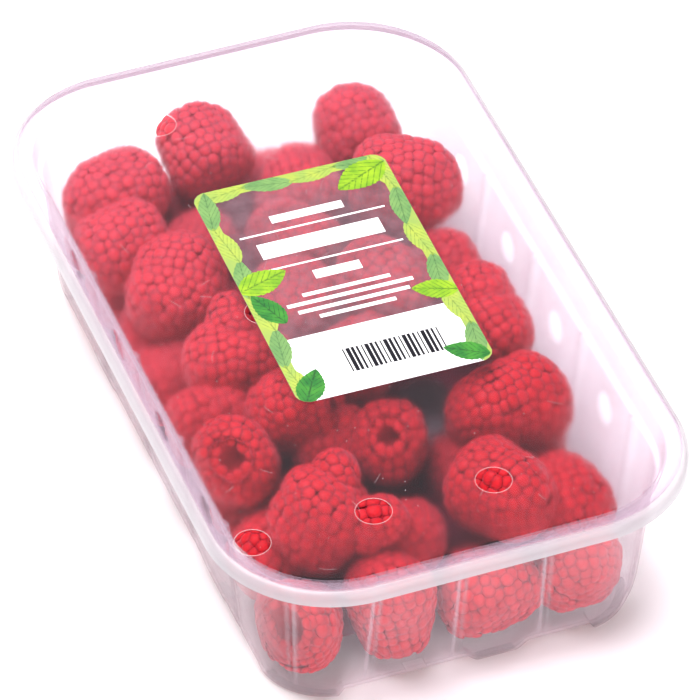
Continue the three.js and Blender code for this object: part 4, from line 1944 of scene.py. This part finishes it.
@dataclass
class Label:
    """The part see-through label: a leafy border, plain bars and a white panel."""

    width: float = 48.0
    length: float = 77.0
    corner: float = 3.5
    turn: float = -1.0
    sheet_thickness: float = 0.04
    ink_thickness: float = 0.015
    strip_step: float = 0.002
    leaf_step: float = 0.004
    trim_margin: float = 0.1
    border: float = 3.1
    panel_length: float = 21.5
    panel_margin: float = 3.1
    rule_width: float = 36.0
    rule_thickness: float = 0.55
    code_bars: int = 21
    code_width: float = 24.0
    code_height: float = 8.0
    code_x: float = 3.0
    code_rise: float = 10.5
    leaf_inset: float = 2.3
    leaf_start: float = 7.0
    leaf_pitch: float = 12.6
    leaf_tilt: float = 9.0
    top_leaf_inset: float = 2.2
    top_leaf_pitch: float = 11.4

    def middle(self) -> Vector:
        """Gives the middle of the label's underside."""
        low, high = node_box(Node.LABEL)
        return Vector(((low.x + high.x) / 2, (low.y + high.y) / 2, low.z))

    def layer(self, level: int) -> float:
        """Gives the height of an ink layer above the underside."""
        return self.sheet_thickness + INK_GAP + level * (self.ink_thickness + INK_GAP)

    def settle(self, bm: bmesh.types.BMesh) -> bmesh.types.BMesh:
        """Turns and moves a flat shape from the label's middle to its place on the film.

        Args:
            bm: The shape.

        Returns:
            The same shape.
        """
        place = Matrix.Translation(self.middle()) @ Matrix.Rotation(math.radians(self.turn), 4, "Z")
        bmesh.ops.transform(bm, matrix=place, verts=bm.verts)
        return bm

    def thicken(self, bm: bmesh.types.BMesh, amount: float) -> None:
        """Gives flat faces their thickness, upwards.

        Args:
            bm: The faces.
            amount: The thickness.
        """
        grown = bmesh.ops.extrude_face_region(bm, geom=list(bm.faces))["geom"]
        lifted = [item for item in grown if isinstance(item, bmesh.types.BMVert)]
        bmesh.ops.translate(bm, vec=(0, 0, amount), verts=lifted)
        bmesh.ops.recalc_face_normals(bm, faces=bm.faces)

    def sheet(self) -> bmesh.types.BMesh:
        """Makes the clear sheet of the label.

        Returns:
            The sheet.
        """
        bm = bmesh.new()
        edges = rounded_loop(bm, self.width / 2, self.length / 2, self.corner, 0.0)
        bmesh.ops.edgeloop_fill(bm, edges=edges)
        self.thicken(bm, self.sheet_thickness)
        return self.settle(bm)

    def border_band(self) -> bmesh.types.BMesh:
        """Makes the band of light green along the top and the long edges.

        Returns:
            The band.
        """
        bm = bmesh.new()
        z = self.layer(0)
        edge = self.border / 2
        strips = [(0.0, self.length / 2 - edge, self.width, self.border)]
        strips += [(sign * (self.width / 2 - edge), 0.0, self.border, self.length) for sign in (-1, 1)]
        for number, (x, y, wide, long) in enumerate(strips):
            lift = z + self.strip_step * number
            size = Matrix.Diagonal((wide / 2, long / 2, 1.0, 1.0))
            place = Matrix.Translation((x, y, lift)) @ size
            bmesh.ops.create_grid(bm, x_segments=1, y_segments=1, size=1.0, matrix=place)
        self.trim(bm)
        self.thicken(bm, self.ink_thickness)
        return self.settle(bm)

    def bars(self, boxes: Sequence[Box], level: int) -> bmesh.types.BMesh:
        """Makes flat printed bars.

        Args:
            boxes: For each its middle along X and Y, its width and its length.
            level: The ink layer.

        Returns:
            The bars.
        """
        bm = bmesh.new()
        for x, y, wide, long in boxes:
            z = self.layer(level) + self.ink_thickness / 2
            size = Matrix.Diagonal((wide, long, self.ink_thickness, 1.0))
            place = Matrix.Translation((x, y, z)) @ size
            bmesh.ops.create_cube(bm, size=1.0, matrix=place)
        return self.settle(bm)

    def leaves(self, shapes: Sequence[LeafShape], level: int) -> bmesh.types.BMesh:
        """Makes printed leaves with toothed edges and a map along each.

        Args:
            shapes: The leaves.
            level: The lowest ink layer.

        Returns:
            The leaves.
        """
        bm = bmesh.new()
        uv = bm.loops.layers.uv.new("leaf")
        for number, leaf in enumerate(shapes):
            self.add_leaf(bm, uv, leaf, self.layer(level) + self.leaf_step * (number % 3))
        return self.settle(bm)

    def add_leaf(self, bm: bmesh.types.BMesh, uv: object, leaf: LeafShape, z: float) -> None:
        """Adds one leaf, kept inside the label's edge.

        Args:
            bm: The bmesh that it goes in.
            uv: The map's layer. It is not used.
            leaf: The leaf.
            z: Its height.
        """
        steps = leaf.teeth * 6
        one = bmesh.new()
        marks = one.loops.layers.uv.new("leaf")
        ring = bmesh.ops.create_circle(one, segments=2 * steps, radius=1.0)["verts"]
        for index, vert in enumerate(ring):
            share = index / steps if index <= steps else 2 - index / steps
            side = 1 if index <= steps else -1
            tooth = 1 + leaf.tooth * (1 - 2 * ((share * leaf.teeth) % 1)) if 0 < share < 1 else 1
            half = math.sin(math.pi * share**0.85) ** 0.8 / 2 * tooth if 0 < share < 1 else 0
            vert.co = (share - 0.5, side * half, 0)
        bmesh.ops.remove_doubles(one, verts=one.verts, dist=1e-5)
        bmesh.ops.edgeloop_fill(one, edges=one.edges)
        bmesh.ops.triangulate(one, faces=one.faces)
        for face in one.faces:
            for loop in face.loops:
                loop[marks].uv = (loop.vert.co.x + 0.5, loop.vert.co.y + 0.5)
        turn = Matrix.Rotation(math.radians(leaf.turn), 4, "Z")
        spot = Matrix.Translation((leaf.x, leaf.y, z)) @ turn
        size = Matrix.Diagonal((leaf.length, leaf.width, 1.0, 1.0))
        bmesh.ops.transform(one, matrix=spot @ size, verts=one.verts)
        self.trim(one)
        self.thicken(one, self.ink_thickness)
        mesh = bpy.data.meshes.new("leaf")
        one.to_mesh(mesh)
        one.free()
        bm.from_mesh(mesh)
        bpy.data.meshes.remove(mesh)

    def trim(self, bm: bmesh.types.BMesh) -> None:
        """Cuts a flat shape off at the label's edges and corners.

        Args:
            bm: The shape.
        """
        half_x = self.width / 2 - self.trim_margin
        half_y = self.length / 2 - self.trim_margin
        radius = self.corner
        planes = []
        for sx in (1, -1):
            for sy in (1, -1):
                for turn in np.radians(np.linspace(0, 90, 5)):
                    away = Vector((sx * math.cos(turn), sy * math.sin(turn), 0))
                    corner = Vector((sx * (half_x - radius), sy * (half_y - radius), 0))
                    planes.append((corner + away * radius, away))
        for spot, normal in planes:
            bmesh.ops.bisect_plane(
                bm,
                geom=list(bm.verts) + list(bm.edges) + list(bm.faces),
                plane_co=spot,
                plane_no=normal,
                clear_outer=True,
            )

    def edge_leaves(self) -> list[LeafShape]:
        """Places the small leaves that run head to tail round the border.

        Returns:
            The leaves.
        """
        leaves = []
        half_x, half_y = self.width / 2, self.length / 2
        for index in range(6):
            tilt = self.leaf_tilt * (-1) ** index
            y = -half_y + self.leaf_start + index * self.leaf_pitch
            leaves.append(LeafShape(-half_x + self.leaf_inset, y, 90 + tilt, 13.8, 5.0))
        for index in range(4):
            tilt = self.leaf_tilt * (-1) ** index
            x = -half_x + self.leaf_start + index * self.top_leaf_pitch
            leaves.append(LeafShape(x, half_y - self.top_leaf_inset, 180 + tilt, 12.8, 4.8))
        for index in range(6):
            tilt = self.leaf_tilt * (-1) ** index
            y = half_y - self.leaf_start - index * self.leaf_pitch
            leaves.append(LeafShape(half_x - self.leaf_inset, y, 270 + tilt, 13.8, 4.8))
        return leaves

    def large_leaves(self) -> list[LeafShape]:
        """Places the bright leaves that reach in over the border.

        Returns:
            The leaves.
        """
        half_x, half_y = self.width / 2, self.length / 2
        return [
            LeafShape(half_x - 7.5, half_y - 6.5, 205, 15, 8.6, teeth=11),
            LeafShape(-half_x + 6.0, 4.0, 18, 13.5, 7.8, teeth=10),
            LeafShape(half_x - 5.0, -half_y + 27, 160, 11, 6.4, teeth=9),
        ]

    def dark_leaves(self) -> list[LeafShape]:
        """Places the dark green leaves.

        Returns:
            The leaves.
        """
        half_x, half_y = self.width / 2, self.length / 2
        return [
            LeafShape(-half_x + 4.2, -5.5, 112, 12.5, 6.0, teeth=10),
            LeafShape(-half_x + 4.6, -half_y + 5.0, 60, 12, 6.6, teeth=10),
            LeafShape(half_x - 5.6, -half_y + 4.6, 150, 11, 6.0, teeth=9),
        ]

    def white_bars(self) -> list[Box]:
        """Places the white bars and rules on the field.

        Returns:
            For each its middle along X and Y, its width and its length.
        """
        top = self.length / 2
        wide = self.rule_width
        bars = [
            (0, top - 14.5, wide * 0.5, 2.6),
            (0, top - 18.6, wide, self.rule_thickness),
            (0, top - 24.6, wide * 0.84, 5.4),
            (0, top - 31.2, wide, self.rule_thickness),
            (0, top - 36.0, wide * 0.32, 3.0),
        ]
        for index, share in enumerate((0.6, 0.86, 0.76, 0.52)):
            bars.append((0, top - 42.0 - index * 2.7, wide * share, 1.2))
        return bars

    def code_boxes(self) -> list[Box]:
        """Places the plain dark bars on the white panel.

        Returns:
            For each its middle along X and Y, its width and its length.
        """
        y = -self.length / 2 + self.code_rise
        boxes = []
        step = self.code_width / self.code_bars
        for index in range(self.code_bars):
            x = self.code_x + (index - (self.code_bars - 1) / 2) * step
            wide = step * (0.3 + 0.18 * (index * 7 % 4))
            boxes.append((x, y, wide, self.code_height))
        return boxes

    def build(self) -> list[bpy.types.Object]:
        """Builds the label and dresses it.

        Returns:
            The pieces.
        """
        field_ink = PlainPrint("label_field", "#a8828e", "#947080", alpha=0.16).build()
        band = LeafPrint("label_band", "#9fae48", "#8ea652", "#7c9142", vein_scale=1.0).build()
        small = LeafPrint("label_small_leaf", "#a6b548", "#92ab4e", "#5c7430").build()
        green = LeafPrint("label_green_leaf", "#769c58", "#628c50", "#3c6034").build()
        bright = LeafPrint("label_bright_leaf", "#94b81a", "#6c9c16", "#2c5a10").build()
        dark = LeafPrint("label_dark_leaf", "#3c8a28", "#146822", "#04300f").build()
        white = PlainPrint("label_white", "#fdfbfd", "#eee8ee").build()
        black = PlainPrint("label_black", "#15131b", "#2a2630").build()
        half_y = self.length / 2
        panel_y = -half_y + self.panel_length / 2 + 0.15
        panel = (0.0, panel_y, self.width - 2 * self.panel_margin, self.panel_length)
        return [
            add_piece(self.sheet(), "label_sheet", [field_ink], Node.LABEL),
            add_piece(self.bars([panel], 0), "label_panel", [white]),
            add_piece(self.border_band(), "label_border_band", [band]),
            add_piece(self.leaves(self.edge_leaves()[::2], 1), "label_border_leaves", [small]),
            add_piece(self.leaves(self.edge_leaves()[1::2], 1), "label_border_green", [green]),
            add_piece(self.leaves(self.dark_leaves(), 2), "label_dark_leaves", [dark]),
            add_piece(self.leaves(self.large_leaves(), 3), "label_bright_leaves", [bright]),
            add_piece(self.bars(self.white_bars(), 1), "label_bars", [white]),
            add_piece(self.bars(self.code_boxes(), 1), "label_dark_bars", [black]),
        ]


@dataclass(frozen=True)
class Lamp:
    """A soft square lamp: its place and side in millimetres, its power in watts and its colour."""

    name: str
    spot: Point
    size: float
    power: float
    tint: str


@dataclass
class Studio:
    """The pale floor, the soft lights and the camera at the photograph's angle."""

    azimuth: float = -21.120
    elevation: float = 42.380
    roll: float = 0.387
    distance: float = 1552.45
    target: Point = (0.0, -1.5, 22.2)
    focal_pixels: float = 6638.62
    picture: float = 700.0
    middle_u: float = 343.44
    middle_v: float = 369.85
    sensor: float = 36.0
    far_clip: float = 100.0
    floor_size: float = 4000.0
    paper: str = "#fbfbfb"
    paper_patch: str = "#f7f7f8"
    surroundings: float = 0.12
    lamps: tuple[Lamp, ...] = (
        Lamp("key", (-190, 180, 970), 760, 20.5, "#ffffff"),
        Lamp("fill", (170, -1060, 420), 800, 9.0, "#fffdfd"),
    )

    def camera(self) -> None:
        """Stands the camera where the photograph was taken from."""
        azimuth, elevation = math.radians(self.azimuth), math.radians(self.elevation)
        flat = math.cos(elevation)
        back = Vector((math.sin(azimuth) * flat, -math.cos(azimuth) * flat, math.sin(elevation)))
        right = Vector((0, 0, 1)).cross(back).normalized()
        up = back.cross(right)
        turn = Matrix((right, up, back)).transposed().to_4x4()
        turn = turn @ Matrix.Rotation(math.radians(self.roll), 4, "Z")
        data = bpy.data.cameras.new("camera")
        data.sensor_width = self.sensor
        data.lens = self.focal_pixels / self.picture * self.sensor
        data.shift_x = (self.picture / 2 - self.middle_u) / self.picture
        data.shift_y = (self.middle_v - self.picture / 2) / self.picture
        data.clip_end = self.far_clip
        camera = bpy.data.objects.new("camera", data)
        bpy.context.scene.collection.objects.link(camera)
        spot = (Vector(self.target) + back * self.distance) * MM
        camera.matrix_world = Matrix.Translation(spot) @ turn
        bpy.context.scene.camera = camera

    def light(self, lamp: Lamp) -> None:
        """Hangs a lamp that points at the punnet.

        Args:
            lamp: The lamp.
        """
        data = bpy.data.lights.new(lamp.name, "AREA")
        data.size = lamp.size * MM
        data.energy = lamp.power
        data.color = linear(lamp.tint)[:3]
        hung = bpy.data.objects.new(lamp.name, data)
        bpy.context.scene.collection.objects.link(hung)
        spot = Vector(lamp.spot)
        turn = (spot - Vector(self.target)).to_track_quat("Z", "Y").to_matrix().to_4x4()
        hung.matrix_world = Matrix.Translation(spot * MM) @ turn

    def world(self) -> None:
        """Makes the white surroundings."""
        world = bpy.data.worlds.new("studio")
        world.use_nodes = True
        wires = Wiring(world.node_tree)
        glow = wires.add("Background", Color=linear("#ffffff"), Strength=self.surroundings)
        output = wires.add("OutputWorld")
        wires.feed(glow.outputs[0], output.inputs["Surface"])
        bpy.context.scene.world = world

    def floor(self) -> None:
        """Lays the pale floor under the feet."""
        bm = bmesh.new()
        bmesh.ops.create_grid(bm, x_segments=1, y_segments=1, size=self.floor_size / 2)
        bmesh.ops.scale(bm, vec=(MM, MM, MM), verts=bm.verts)
        mesh = bpy.data.meshes.new("floor")
        bm.to_mesh(mesh)
        bm.free()
        material, wires, shader = new_material("floor_paper")
        blotches = BLOTCHES.use(wires, vector=wires.place(), scale=8.0)
        share = wires.math("MULTIPLY", blotches.outputs["Soft"], 0.5)
        paper = wires.mix(share, linear(self.paper), linear(self.paper_patch))
        wires.feed(paper, shader.inputs["Base Color"])
        shader.inputs["Roughness"].default_value = 0.9
        shader.inputs["Specular IOR Level"].default_value = 0.1
        mesh.materials.append(material)
        floor = bpy.data.objects.new("floor", mesh)
        bpy.context.scene.collection.objects.link(floor)

    def build(self) -> None:
        """Sets up the whole studio."""
        self.camera()
        self.floor()
        self.world()
        for lamp in self.lamps:
            self.light(lamp)
        settings = bpy.context.scene.view_settings
        settings.view_transform = "Standard"
        settings.look = "None"


def main() -> None:
    """Builds the punnet and its studio."""
    logging.basicConfig(level=logging.INFO, format="%(message)s")
    low, high = node_box(Node.TRAY)
    shape = TrayShape(width=high.x - low.x, length=high.y - low.y, height=high.z)
    pieces = []
    for assembly in (Heap(shape), Tray(shape), LidFilm(shape), Lint(shape), Label()):
        pieces += assembly.build()
    log.info("%d pieces", len(pieces))
    Studio().build()


if __name__ == "__main__":
    main()
